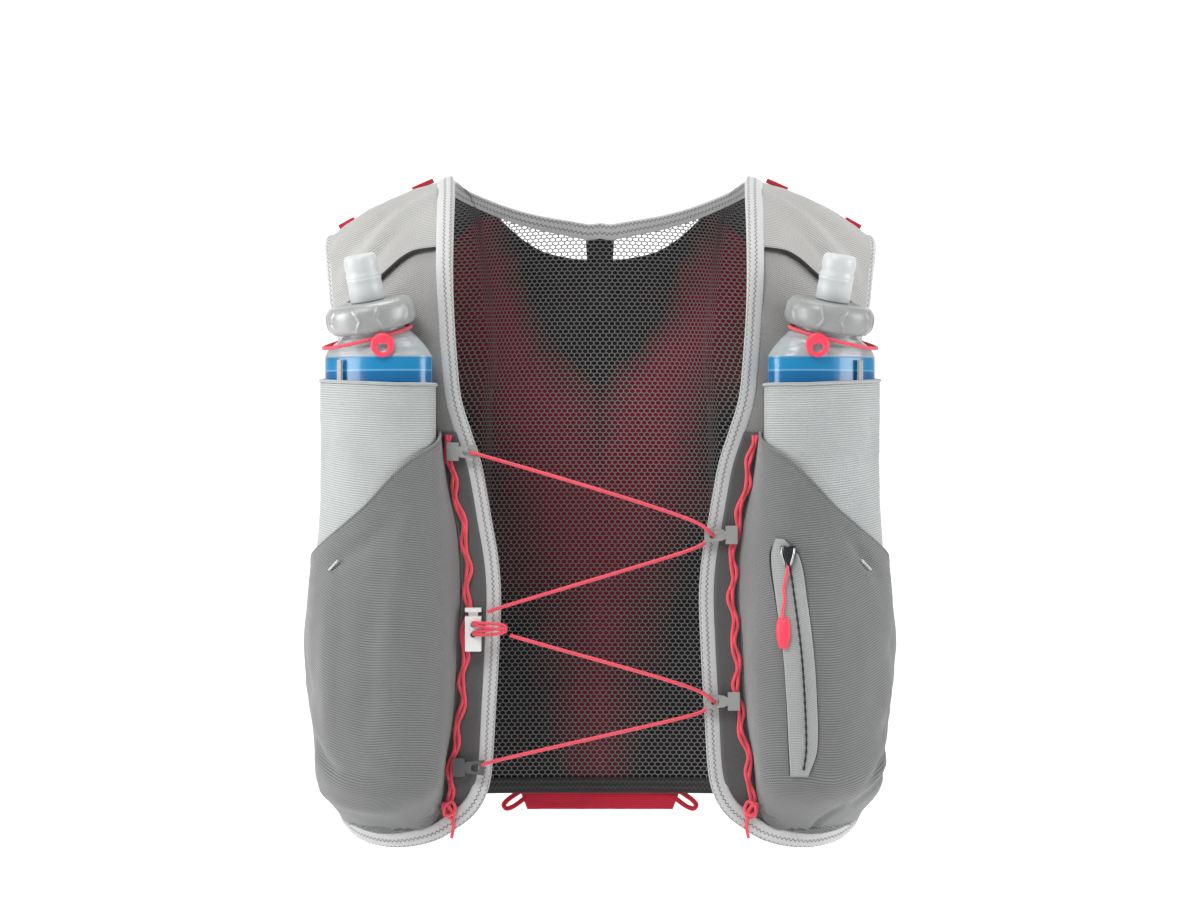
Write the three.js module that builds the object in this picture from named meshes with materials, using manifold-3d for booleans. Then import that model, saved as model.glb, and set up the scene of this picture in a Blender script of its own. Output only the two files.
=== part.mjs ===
// A running hydration vest with two soft flasks, in millimetres.
// Z points up and the front of the vest faces -Y. The origin is midway between the two shoulder tops,
// where the vest rests on its wearer. The wearer's left side is at +X.
import * as THREE from 'three';
import { mergeVertices } from 'three/addons/utils/BufferGeometryUtils.js';
import Module from 'manifold-3d';

// Body form
const vestLength = 412; // shoulder top to the lowest point of the front hem
const bodyHalfWidth = 175.5; // at the widest height
const frontDepth = 105;
const backDepth = 110;
const squareness = 3; // exponent of the rounded body section
const archDrop = 120; // below this the cloth is upright, above it turns over the shoulder
const archLength = 168; // cloth from the arch line to the shoulder top
const neckHalfWidth = 92;
const shoulderHalfWidth = 172;
const neckDip = 19; // of the back neck edge at the centre
const shoulderSlope = 0.4;
const shoulderRound = 0.0012;

// Cloth and its layers
const gap = 0.35; // between pieces that touch
const panelWall = 1.2;
const strapWall = 1.4;
const pocketWall = 1.3;
const outerPocketWall = 1.5;
const bindingWidth = 10.5;
const bindingWall = 2.6;
const edgeRoom = 5; // cleared beyond a binding's edge
const tapeWall = 0.9;
const strapPuff = 2;

// Flasks
const flaskHalfWidth = 35.5;
const flaskHalfDepth = 21;
const flaskWall = 0.9;
const flaskClearance = 0.9; // to the panel behind it
const flaskSeat = 122.5; // distance of a flask's resting line from the centre line
const flaskToHem = 54; // from a flask's bottom to the lowest point of the hem
const flaskBottomDrop = vestLength - flaskToHem;
const flaskShoulderDrop = 114;
const flaskNeckDrop = 99;
const neckRadius = 18.6;
const neckHeight = 14;
const neckWall = 2;
const capRadius = 26.6;
const capHeight = 17;
const capTop = 2.6;
const boreRadius = 6.4;
const valveRadius = 10.4;
const valveHeight = 28;
const flaskLeanOut = 10; // degrees
const flaskLeanForward = 8;
const mouthDrop = 131; // of the flask pocket
const mouthRise = 4; // of the mouth at its outer side

// Cords and small parts
const railWidth = 4.6;
const railWall = 2.2;
const chestCord = 2.2; // diameters
const thinCord = 1.8;
const retentionCord = 2.2;
const loopCord = 2.6;
const hookWall = 2.4;
const hookStandOff = 3.8; // of a hook's back from the binding's face
const lockWidth = 9.6;
const lockDepth = 8;
const lockLength = 21;
const lockTravel = 2.6;
const zipWidth = 15;
const packBulge = 26;
const packHalfWidth = 148;
const strapToPack = 2.5;
const strapTail = 22; // of the centre strap behind the pack
const packTaper = 0.777; // share of vestLength, below which the pack no longer narrows

const sides = [
  { side: 'left', sign: 1 },
  { side: 'right', sign: -1 },
];
const FRONT = 1;
const BACK = -1;

// Form of the body by height: lengths are shares of vestLength, bodyHalfWidth and the two depths
const bodyRows = [
  { drop: 0.291, half: 0.932, depth: 1.0 },
  { drop: 0.4, half: 0.937, depth: 1.0 },
  { drop: 0.51, half: 0.95, depth: 1.0 },
  { drop: 0.6, half: 0.968, depth: 1.0 },
  { drop: 0.69, half: 1.0, depth: 1.0 },
  { drop: 0.757, half: 0.994, depth: 0.995 },
  { drop: 0.825, half: 0.965, depth: 0.985 },
  { drop: 0.92, half: 0.92, depth: 0.97 },
  { drop: 1.0, half: 0.893, depth: 0.96 },
];
const archHalfWidth = 1.022; // of the form at the shoulder top, a share of bodyHalfWidth

// Front opening edge: drop is a share of vestLength, reach a share of neckHalfWidth
const openingRows = [
  { drop: 0.19, reach: 0.963 },
  { drop: 0.296, reach: 0.93 },
  { drop: 0.34, reach: 0.905 },
  { drop: 0.383, reach: 0.846 },
  { drop: 0.427, reach: 0.781 },
  { drop: 0.471, reach: 0.741 },
  { drop: 0.515, reach: 0.707 },
  { drop: 0.573, reach: 0.663 },
  { drop: 0.631, reach: 0.647 },
  { drop: 0.689, reach: 0.655 },
  { drop: 0.748, reach: 0.668 },
  { drop: 0.808, reach: 0.685 },
  { drop: 0.867, reach: 0.701 },
  { drop: 0.9, reach: 0.72 },
  { drop: 0.927, reach: 0.762 },
  { drop: 0.948, reach: 0.826 },
];

// Hem of the front, from the opening's corner to the side seam: reach is a share of bodyHalfWidth
const hemRows = [
  { reach: 0.485, drop: 0.966 },
  { reach: 0.56, drop: 0.986 },
  { reach: 0.7, drop: 1.0 },
  { reach: 0.81, drop: 0.995 },
  { reach: 0.875, drop: 0.982 },
];
const sideHem = 0.972; // drop of the hem at the side seam and round the back, a share of vestLength

// Armhole edge: climb is a share of archLength, reach a share of shoulderHalfWidth
const armholeFront = [
  { climb: 1.0, reach: 1.0 },
  { climb: 0.8, reach: 0.995 },
  { climb: 0.45, reach: 0.966 },
  { climb: 0.15, reach: 0.945 },
  { climb: -0.1, reach: 0.94 },
];
const armholeBack = [
  { climb: 0.0, reach: 0.85 },
  { climb: 0.35, reach: 0.885 },
  { climb: 0.7, reach: 0.945 },
  { climb: 0.9, reach: 0.99 },
  { climb: 1.0, reach: 1.0 },
];
const armholeBottom = 0.27; // below the arch line, a share of archLength

// Lower edge of the shoulder strap's outer layer: reach is a share of shoulderHalfWidth, drop of archDrop
const flapRows = [
  { reach: 0.58, drop: 0.405 },
  { reach: 0.64, drop: 0.415 },
  { reach: 0.68, drop: 0.45 },
  { reach: 0.72, drop: 0.505 },
  { reach: 0.78, drop: 0.585 },
  { reach: 0.87, drop: 0.665 },
  { reach: 0.95, drop: 0.71 },
];

// Middle of the rail beside the binding: drop is a share of vestLength, reach of neckHalfWidth
const railRows = [
  { drop: 0.386, reach: 1.0 },
  { drop: 0.461, reach: 0.951 },
  { drop: 0.515, reach: 0.897 },
  { drop: 0.558, reach: 0.869 },
  { drop: 0.636, reach: 0.859 },
  { drop: 0.692, reach: 0.88 },
  { drop: 0.752, reach: 0.891 },
  { drop: 0.808, reach: 0.913 },
  { drop: 0.867, reach: 0.962 },
  { drop: 0.94, reach: 0.985 },
];

// Upper edge of the outer pocket: around is a share of the pocket's girth, drop of vestLength
const slopeRows = [
  { around: 0.0, drop: 0.388 },
  { around: 0.12, drop: 0.396 },
  { around: 0.22, drop: 0.437 },
  { around: 0.34, drop: 0.503 },
  { around: 0.53, drop: 0.566 },
  { around: 0.75, drop: 0.607 },
  { around: 0.9, drop: 0.68 },
  { around: 1.0, drop: 0.71 },
];

// Top edge of the back pack: reach is a share of shoulderHalfWidth, drop of archDrop
const packRows = [
  { reach: 0.0, drop: 0.408 },
  { reach: 0.21, drop: 0.358 },
  { reach: 0.314, drop: 0.275 },
  { reach: 0.401, drop: 0.175 },
  { reach: 0.47, drop: 0.19 },
  { reach: 0.64, drop: 0.4 },
  { reach: 0.87, drop: 0.79 },
];

// Flask above its straight body: turn is how far the ring has turned to the neck's axis
const flaskShoulder = [
  { rise: 0.0, wide: 1.0, deep: 1.0, turn: 0.0 },
  { rise: 0.3, wide: 0.9, deep: 0.95, turn: 0.15 },
  { rise: 0.65, wide: 0.72, deep: 0.88, turn: 0.5 },
  { rise: 0.9, wide: 0.58, deep: 0.87, turn: 0.85 },
];

// Zip down the left outer pocket: drop is a share of vestLength, reach of bodyHalfWidth
const zipRows = [
  { drop: 0.54, reach: 0.615, wide: 0.25 },
  { drop: 0.565, reach: 0.63, wide: 0.9 },
  { drop: 0.627, reach: 0.648, wide: 1.0 },
  { drop: 0.7, reach: 0.667, wide: 1.0 },
  { drop: 0.77, reach: 0.678, wide: 1.0 },
  { drop: 0.842, reach: 0.683, wide: 0.95 },
  { drop: 0.88, reach: 0.672, wide: 0.6 },
];

const rad = THREE.MathUtils.degToRad;
const { clamp, lerp } = THREE.MathUtils;

// Smooth value of one column of a table at a place in another
function column(rows, from, to, at) {
  const last = rows.length - 1;
  const rising = rows[last][from] > rows[0][from];
  const x = rising ? clamp(at, rows[0][from], rows[last][from]) : clamp(at, rows[last][from], rows[0][from]);
  let i = 0;
  while (i < last - 1 && (rising ? x > rows[i + 1][from] : x < rows[i + 1][from])) i += 1;
  const slope = (k) => {
    const a = rows[Math.max(k - 1, 0)];
    const b = rows[Math.min(k + 1, last)];
    return (b[to] - a[to]) / (b[from] - a[from]);
  };
  const span = rows[i + 1][from] - rows[i][from];
  const t = (x - rows[i][from]) / span;
  const h = [(1 + 2 * t) * (1 - t) ** 2, t * (1 - t) ** 2, t * t * (3 - 2 * t), t * t * (t - 1)];
  return h[0] * rows[i][to] + h[1] * slope(i) * span + h[2] * rows[i + 1][to] + h[3] * slope(i + 1) * span;
}

// Body surface

// Cloth length round the widest section from the centre line to each degree of turn
const girth = [0];
for (let degree = 1; degree <= 90; degree += 1) {
  const at = (d) => [
    bodyHalfWidth * Math.sin(rad(d)) ** (2 / squareness),
    frontDepth * Math.cos(rad(d)) ** (2 / squareness),
  ];
  const [x0, y0] = at(degree - 1);
  const [x1, y1] = at(degree);
  girth.push(girth[degree - 1] + Math.hypot(x1 - x0, y1 - y0));
}
const sideSeam = girth[90];

function turnAt(across) {
  let d = 0;
  while (d < 89 && girth[d + 1] < across) d += 1;
  return rad(d + (across - girth[d]) / (girth[d + 1] - girth[d]));
}

function acrossAt(turn) {
  const d = clamp(THREE.MathUtils.radToDeg(turn), 0, 90);
  const whole = Math.min(Math.floor(d), 89);
  return lerp(girth[whole], girth[whole + 1], d - whole);
}

function halfWidth(climb) {
  if (climb <= 0) return bodyHalfWidth * column(bodyRows, 'drop', 'half', (archDrop - climb) / vestLength);
  const arch = bodyHalfWidth * bodyRows[0].half;
  return lerp(arch, bodyHalfWidth * archHalfWidth, clamp(climb / archLength, 0, 1) ** 1.3);
}

function topDrop(x) {
  const out = Math.abs(x) - neckHalfWidth;
  return shoulderSlope * out + shoulderRound * Math.max(out, 0) ** 2;
}

// Point at a length across from the centre line and a climb above the arch line
function bodyPoint(face, across, climb) {
  const side = across < 0 ? -1 : 1;
  let a = Math.abs(across);
  let f = face;
  let c = climb;
  if (a > sideSeam) {
    a = 2 * sideSeam - a;
    f = -f;
  }
  if (c > archLength) {
    c = 2 * archLength - c;
    f = -f;
  }
  const turn = turnAt(a);
  const x = halfWidth(c) * Math.sin(turn) ** (2 / squareness);
  const depth = (f === FRONT ? frontDepth : backDepth) * Math.cos(turn) ** (2 / squareness);
  if (c <= 0) {
    const share = column(bodyRows, 'drop', 'depth', (archDrop - c) / vestLength);
    return new THREE.Vector3(side * x, -f * depth * share, c - archDrop);
  }
  const angle = (Math.PI / 2) * (c / archLength);
  const z = -archDrop + (archDrop - topDrop(x)) * Math.sin(angle);
  return new THREE.Vector3(side * x, -f * depth * Math.cos(angle), z);
}

// The same point lifted off the body by a length
function cloth(face, across, climb, lift = 0) {
  const p = bodyPoint(face, across, climb);
  const step = 1.5;
  const a = bodyPoint(face, across + step, climb).sub(bodyPoint(face, across - step, climb));
  const b = bodyPoint(face, across, climb + step).sub(bodyPoint(face, across, climb - step));
  const normal = a.cross(b).normalize();
  const core = new THREE.Vector3(p.x * 0.5, 0, Math.min(p.z, -archDrop * 0.6));
  if (normal.dot(p.clone().sub(core)) < 0) normal.negate();
  return p.addScaledVector(normal, lift);
}

// Climb of a point seen from the front at a reach from the centre and a drop below the shoulder top
function climbAt(reach, drop) {
  if (drop >= archDrop) return archDrop - drop;
  const share = clamp((archDrop - drop) / (archDrop - topDrop(reach)), 0, 1);
  return (Math.asin(share) / (Math.PI / 2)) * archLength;
}

function acrossOf(reach, climb) {
  return acrossAt(Math.asin(clamp(reach / halfWidth(climb), 0, 1) ** (squareness / 2)));
}

// Geometry helpers

function solidFrom(points, faces) {
  const geometry = new THREE.BufferGeometry();
  geometry.setAttribute('position', new THREE.Float32BufferAttribute(points.flatMap((p) => [p.x, p.y, p.z]), 3));
  let volume = 0;
  for (const [a, b, c] of faces) volume += points[a].dot(points[b].clone().cross(points[c]));
  geometry.setIndex(faces.flatMap(([a, b, c]) => (volume > 0 ? [a, b, c] : [a, c, b])));
  return geometry;
}

// Closed wall over a grid; at(row, col, outer) gives its points, row and col from 0 to 1
function wall(rows, cols, at) {
  const points = [];
  for (const outer of [true, false]) {
    for (let i = 0; i <= rows; i += 1) {
      for (let j = 0; j <= cols; j += 1) points.push(at(i / rows, j / cols, outer));
    }
  }
  const layer = (rows + 1) * (cols + 1);
  const id = (i, j, below = 0) => below * layer + i * (cols + 1) + j;
  const faces = [];
  const quad = (a, b, c, d) => {
    const across = points[a].distanceTo(points[c]) <= points[b].distanceTo(points[d]);
    faces.push(...(across ? [[a, b, c], [a, c, d]] : [[a, b, d], [b, c, d]]));
  };
  for (let i = 0; i < rows; i += 1) {
    for (let j = 0; j < cols; j += 1) {
      quad(id(i, j), id(i + 1, j), id(i + 1, j + 1), id(i, j + 1));
      quad(id(i, j, 1), id(i, j + 1, 1), id(i + 1, j + 1, 1), id(i + 1, j, 1));
    }
    quad(id(i, 0), id(i, 0, 1), id(i + 1, 0, 1), id(i + 1, 0));
    quad(id(i + 1, cols), id(i + 1, cols, 1), id(i, cols, 1), id(i, cols));
  }
  for (let j = 0; j < cols; j += 1) {
    quad(id(0, j + 1), id(0, j + 1, 1), id(0, j, 1), id(0, j));
    quad(id(rows, j), id(rows, j, 1), id(rows, j + 1, 1), id(rows, j + 1));
  }
  return solidFrom(points, faces);
}

// Solid through a run of rings, capped at both ends or joined into a loop
function throughRings(rings, joined = false) {
  const count = rings[0].length;
  const faces = [];
  const spans = joined ? rings.length : rings.length - 1;
  for (let i = 0; i < spans; i += 1) {
    const next = (i + 1) % rings.length;
    for (let j = 0; j < count; j += 1) {
      const k = (j + 1) % count;
      faces.push([i * count + j, next * count + j, next * count + k]);
      faces.push([i * count + j, next * count + k, i * count + k]);
    }
  }
  if (!joined) {
    const end = (rings.length - 1) * count;
    for (let j = 1; j < count - 1; j += 1) {
      faces.push([0, j, j + 1]);
      faces.push([end, end + j + 1, end + j]);
    }
  }
  return solidFrom(rings.flat(), faces);
}

function ringAt(centre, u, v, radiusU, radiusV, count) {
  return Array.from({ length: count }, (_, k) => {
    const angle = (2 * Math.PI * k) / count;
    return centre.clone().addScaledVector(u, radiusU * Math.cos(angle)).addScaledVector(v, radiusV * Math.sin(angle));
  });
}

// Round cord through points, a ring at each, with the section kept from twisting
function cordThrough(points, diameter, count = 8, joined = false) {
  const last = points.length - 1;
  const tangentAt = (i) => {
    const before = joined ? points[(i + last) % (last + 1)] : points[Math.max(i - 1, 0)];
    const after = joined ? points[(i + 1) % (last + 1)] : points[Math.min(i + 1, last)];
    return after.clone().sub(before).normalize();
  };
  const first = tangentAt(0);
  const lead = Math.abs(first.y) < 0.8 ? new THREE.Vector3(0, 1, 0) : new THREE.Vector3(1, 0, 0);
  let u = lead.clone().sub(first.clone().multiplyScalar(lead.dot(first))).normalize();
  const rings = points.map((p, i) => {
    const t = tangentAt(i);
    u = u.clone().sub(t.clone().multiplyScalar(u.dot(t))).normalize();
    return ringAt(p, u, t.clone().cross(u), diameter / 2, diameter / 2, count);
  });
  return throughRings(rings, joined);
}

function smoothLine(points, count) {
  return new THREE.CatmullRomCurve3(points, false, 'centripetal').getSpacedPoints(count);
}

function bareOf(geometry) {
  const bare = geometry.clone();
  bare.deleteAttribute('normal');
  bare.deleteAttribute('uv');
  return mergeVertices(bare, 1e-4);
}

function mirrored(geometry) {
  const copy = bareOf(geometry);
  copy.scale(-1, 1, 1);
  const index = copy.getIndex().array;
  for (let i = 0; i < index.length; i += 3) [index[i + 1], index[i + 2]] = [index[i + 2], index[i + 1]];
  return copy;
}

const wasm = await Module();
wasm.setup();

function toSolid(geometry) {
  const merged = bareOf(geometry);
  const mesh = new wasm.Mesh({
    numProp: 3,
    vertProperties: new Float32Array(merged.attributes.position.array),
    triVerts: new Uint32Array(merged.index.array),
  });
  return new wasm.Manifold(mesh);
}

function fromSolid(solid) {
  const mesh = solid.getMesh();
  const geometry = new THREE.BufferGeometry();
  geometry.setAttribute('position', new THREE.BufferAttribute(mesh.vertProperties, 3));
  geometry.setIndex(new THREE.BufferAttribute(mesh.triVerts, 1));
  return geometry;
}

// Cuts the room of neighbouring pieces out of a piece and keeps its main body
function carved(geometry, ...rooms) {
  let solid = toSolid(geometry);
  for (const room of rooms) solid = solid.subtract(toSolid(room));
  const bodies = solid.decompose();
  return fromSolid(bodies.reduce((most, body) => (body.volume() > most.volume() ? body : most)));
}

function boxAt(width, depth, height, x, y, z) {
  return new THREE.BoxGeometry(width, depth, height).translate(x, y, z);
}

// Edge lines, as points of (across, climb), with the cloth on their outer side

function edgeLine(points, count) {
  const line = smoothLine(points.map(([a, c]) => new THREE.Vector3(a, c, 0)), count);
  return line.map((p) => new THREE.Vector2(p.x, p.y));
}

// The same line moved sideways onto the cloth
function moved(line, width, hand) {
  return line.map((p, i) => {
    const before = line[Math.max(i - 1, 0)];
    const after = line[Math.min(i + 1, line.length - 1)];
    const t = after.clone().sub(before).normalize();
    return new THREE.Vector2(p.x - hand * t.y * width, p.y + hand * t.x * width);
  });
}

// Value along a line where the other coordinate has a given value
function crossing(line, from, to, at) {
  let best = line[0];
  let next = line[0];
  for (let i = 0; i < line.length - 1; i += 1) {
    const a = line[i];
    const b = line[i + 1];
    if ((a[from] - at) * (b[from] - at) <= 0 && a[from] !== b[from]) {
      return lerp(a[to], b[to], (at - a[from]) / (b[from] - a[from]));
    }
    if (Math.abs(b[from] - at) < Math.abs(best[from] - at)) best = b;
    next = best;
  }
  return next[to];
}

// Binding tape along an edge line, from the edge onto the cloth; room makes the space that it takes
function bindingAlong(face, line, hand, room = false) {
  const spare = room ? gap : 0;
  const low = (panelWall - bindingWall) / 2 - 2 * spare;
  const high = low + bindingWall + 4 * spare;
  const ahead = (from, to) => to.clone().sub(from).setLength(to.distanceTo(from) + 2 * spare).add(from);
  const path = [ahead(line[1], line[0]), ...line.slice(1, -1), ahead(line.at(-2), line.at(-1))];
  const inside = moved(path, bindingWidth + spare, hand);
  const edge = moved(path, room ? -edgeRoom : 0, hand);
  const rings = path.map((_, i) => [
    cloth(face, edge[i].x, edge[i].y, low),
    cloth(face, inside[i].x, inside[i].y, low),
    cloth(face, inside[i].x, inside[i].y, high),
    cloth(face, edge[i].x, edge[i].y, high),
  ]);
  return throughRings(rings);
}

const seam = gap / 2;
const clothEdge = bindingWidth + gap;
const tuck = bindingWidth * 0.6; // how far a wall runs under a binding before it is cut back to it

// Front opening edge and front hem in one line, from the shoulder top to the side seam
const openingPoints = [[acrossOf(neckHalfWidth, archLength), archLength - seam]];
for (const share of [0.85, 0.7]) {
  openingPoints.push([acrossOf(neckHalfWidth * lerp(1, openingRows[0].reach, (1 - share) * 2), archLength * share),
    archLength * share]);
}
for (const row of openingRows) {
  const reach = row.reach * neckHalfWidth;
  const climb = climbAt(reach, row.drop * vestLength);
  openingPoints.push([acrossOf(reach, climb), climb]);
}
for (const row of hemRows) {
  const climb = archDrop - row.drop * vestLength;
  openingPoints.push([acrossOf(row.reach * bodyHalfWidth, climb), climb]);
}
const hemClimb = archDrop - sideHem * vestLength;
openingPoints.push([sideSeam - seam, hemClimb]);
const openingLine = edgeLine(openingPoints, 36);
const openingInside = moved(openingLine, clothEdge, 1);
const openingRoom = bindingAlong(FRONT, openingLine, 1, true);

// The corner splits the inner line into its upright part and its hem part
const cornerIndex = openingInside.findIndex((p) => p.y < archDrop - openingRows.at(-1).drop * vestLength + bindingWidth);
const uprightInside = openingInside.slice(0, cornerIndex + 1);
const hemInside = openingInside.slice(cornerIndex);
const innerEdge = (climb) => crossing(uprightInside, 'y', 'x', climb);
const hemEdge = (across) => crossing(hemInside, 'x', 'y', across);

// Armhole edge, from the shoulder top down the front, round the side and up the back
const armPoint = (row, faceSide) => {
  const climb = row.climb * archLength;
  const across = acrossOf(row.reach * shoulderHalfWidth, climb);
  return [faceSide === FRONT ? across : 2 * sideSeam - across, climb];
};
const armholePoints = [
  ...armholeFront.map((row) => armPoint(row, FRONT)),
  [sideSeam, -armholeBottom * archLength],
  ...armholeBack.map((row) => armPoint(row, BACK)),
];
armholePoints[0][1] -= seam;
armholePoints.at(-1)[1] -= seam;
const armholeLine = edgeLine(armholePoints, 26);
const armholeInside = moved(armholeLine, clothEdge, -1);
const armholeRoom = bindingAlong(FRONT, armholeLine, -1, true);
const lowest = armholeInside.reduce((low, p, i) => (p.y < armholeInside[low].y ? i : low), 0);
const armFrontInside = armholeInside.slice(0, lowest + 1);
const armBackInside = armholeInside.slice(lowest);

const outerEdge = (climb) => {
  const bottom = armholeInside[lowest].y;
  if (climb < bottom) return sideSeam - seam;
  return Math.min(crossing(armFrontInside, 'y', 'x', climb), sideSeam - seam);
};

// Front panels: the grey layer that everything else is sewn to
function frontPanel() {
  const panel = wall(12, 5, (row, col, outer) => {
    const start = lerp(uprightInside.at(-1).x, sideSeam - seam, col);
    const climb = lerp(hemEdge(start) - tuck * 0.5, archLength - seam, row);
    const across = lerp(innerEdge(climb) - tuck, Math.min(outerEdge(climb) + tuck, sideSeam - seam), col);
    return cloth(FRONT, across, climb, outer ? panelWall : 0);
  });
  return carved(panel, openingRoom, armholeRoom);
}

// Back neck edge and its band
const neckPoints = [];
for (const share of [1, 0.94, 0.84, 0.68, 0.5, 0.25, 0]) {
  const reach = share * neckHalfWidth;
  const climb = share === 1 ? archLength - seam : climbAt(reach, neckDip * (1 - share ** 2));
  neckPoints.push([acrossOf(reach, climb), climb]);
}
const neckWhole = [...neckPoints, ...neckPoints.slice(0, -1).reverse().map(([a, c]) => [-a, c])];
const neckLine = edgeLine(neckWhole, 22);
const neckInside = moved(neckLine, clothEdge, 1);
const neckRoom = bindingAlong(BACK, neckLine, 1, true);
const neckBelow = (across) => crossing(neckInside, 'x', 'y', across);

// Back net: from the neck band and the shoulder seams down to the hem
const backSeamReach = 0.9; // of the seam between net and side panel, a share of the body's half width
const backSeam = acrossOf(backSeamReach * bodyHalfWidth * bodyRows[1].half, -archDrop * 0.5);
const armBack = (climb) => 2 * sideSeam - crossing(armBackInside, 'y', 'x', climb);
const backEdge = (climb) => {
  const bottom = armholeInside[lowest].y;
  if (climb < bottom - 1) return backSeam;
  const cut = armBack(climb) + tuck;
  return climb < 0.1 * archLength ? Math.min(cut, backSeam) : cut;
};
const backHemInside = archDrop - sideHem * vestLength + clothEdge;

// Height of the net's top edge, run a little under the neck band
function backTop(across) {
  const start = Math.abs(neckLine[0].x);
  if (Math.abs(across) >= start) return archLength - seam;
  return Math.min(crossing(neckLine, 'x', 'y', -Math.abs(across)) - bindingWidth * 0.2, archLength - seam);
}

// The net and the side panels share the heights of their rows along the seam between them
const seamRows = 4;
const seamTop = crossing(armBackInside, 'x', 'y', 2 * sideSeam - backSeam);

function backNet() {
  const rows = seamRows + 8;
  const below = seamRows / rows;
  const net = wall(rows, 12, (row, col, outer) => {
    const share = 2 * col - 1;
    const atTop = share * (2 * sideSeam - armholeLine.at(-1).x);
    const climb = row < below ? lerp(backHemInside, seamTop, row / below)
      : lerp(seamTop, backTop(atTop), (row - below) / (1 - below));
    return cloth(BACK, share * backEdge(climb), climb, outer ? panelWall : 0);
  });
  return carved(net, neckRoom, armholeRoom, mirrored(armholeRoom));
}

// Side panels join the front panels to the net below the armholes
function sidePanel() {
  const bottom = hemClimb + clothEdge;
  const panel = wall(seamRows, 3, (row, col, outer) => {
    const across = lerp(sideSeam + seam, 2 * sideSeam - backSeam - gap, col);
    const top = lerp(crossing(armholeInside, 'x', 'y', across) + tuck, seamTop, col);
    return cloth(FRONT, across, lerp(bottom, top, row), outer ? panelWall : 0);
  });
  return carved(panel, armholeRoom);
}

// Shoulder straps: the outer layer from the flap edge at the front over the shoulder to the pack
function strapInner(climb) {
  if (climb <= archLength) return innerEdge(climb);
  return crossing(neckInside.slice(0, 9), 'y', 'x', 2 * archLength - climb);
}

function strapOuter(climb) {
  if (climb <= archLength) return outerEdge(climb);
  return armBack(2 * archLength - climb);
}

function packTop(reach) {
  return archDrop * column(packRows, 'reach', 'drop', Math.abs(reach) / shoulderHalfWidth);
}

// Climb past the shoulder top where the strap meets the pack, at a share of the strap's width
function strapEnd(col) {
  let climb = 1.5 * archLength;
  for (let i = 0; i < 8; i += 1) {
    const across = lerp(strapInner(climb), strapOuter(climb), col);
    const reach = bodyPoint(FRONT, across, climb).x;
    climb = 2 * archLength - climbAt(reach, packTop(reach)) - strapToPack;
  }
  return climb;
}

const strapSeat = panelWall + gap + 1.3;
function shoulderStrap(spare = 0) {
  const strap = wall(12, 4, (row, col, outer) => {
    const flapReach = lerp(flapRows[0].reach, flapRows.at(-1).reach, col);
    const flap = climbAt(flapReach * shoulderHalfWidth,
      archDrop * column(flapRows, 'reach', 'drop', flapReach));
    const climb = lerp(flap, strapEnd(col) + 2 * spare, row);
    const across = lerp(strapInner(climb) - 2, strapOuter(climb) + 2, col);
    const puff = strapPuff * Math.sin(Math.PI * col) * Math.sin(Math.PI * clamp(row, 0.05, 0.95));
    return cloth(FRONT, across, climb, strapSeat - spare + puff + (outer ? strapWall + 2 * spare : 0));
  });
  return carved(strap, openingRoom, armholeRoom, neckRoom);
}

// Small red webbing tabs across the shoulder tops
const tabReach = { inner: 0.64, outer: 0.92 }; // shares of shoulderHalfWidth
const tabLength = 13;
const tabDepth = 8;
const tabWall = 2.2;
const tabPuff = 0.62; // share of the strap's puff under a tab

function shoulderTab(reach) {
  const across = acrossOf(reach * shoulderHalfWidth, archLength);
  const low = strapSeat + gap + strapWall + strapPuff * tabPuff;
  return wall(2, 2, (row, col, outer) => cloth(FRONT, across + tabLength * (col - 0.5),
    archLength + tabDepth * (row - 0.5), low + (outer ? tabWall : 0)));
}

// Flasks
function flaskFrame(drop) {
  const climb = Math.min(archDrop - drop, 0);
  const across = acrossOf(flaskSeat, climb);
  const base = cloth(FRONT, across, climb);
  const n = cloth(FRONT, across, climb, 1).sub(base).setZ(0).normalize();
  const t = new THREE.Vector3(-n.y, n.x, 0);
  const centre = base.clone().addScaledVector(n, panelWall + flaskClearance + flaskHalfDepth);
  centre.z = -drop;
  return { centre, t, n };
}

// Neck frame: leaning out to the side and forward
const neckAxis = new THREE.Vector3(Math.tan(rad(flaskLeanOut)), -Math.tan(rad(flaskLeanForward)), 1).normalize();
const neckU = new THREE.Vector3(1, 0, 0).sub(neckAxis.clone().multiplyScalar(neckAxis.x)).normalize();
const neckV = neckAxis.clone().cross(neckU);
const neckBase = flaskFrame(flaskShoulderDrop).centre
  .addScaledVector(neckAxis, (flaskShoulderDrop - flaskNeckDrop) / neckAxis.z);
const neckMatrix = new THREE.Matrix4().makeBasis(neckU, neckV, neckAxis).setPosition(neckBase);

function flaskRing(row, shrink, count) {
  const rise = flaskShoulderDrop - flaskNeckDrop;
  const { centre, t, n } = flaskFrame(flaskShoulderDrop);
  const middle = centre.clone().addScaledVector(neckAxis, (rise * row.rise) / neckAxis.z);
  const u = t.clone().lerp(neckU, row.turn).normalize();
  const v = n.clone().negate().lerp(neckV, row.turn).normalize();
  const wide = row.wide * flaskHalfWidth - shrink;
  const deep = row.deep * flaskHalfDepth - shrink;
  return ringAt(middle, u, v, wide, deep, count);
}

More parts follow.
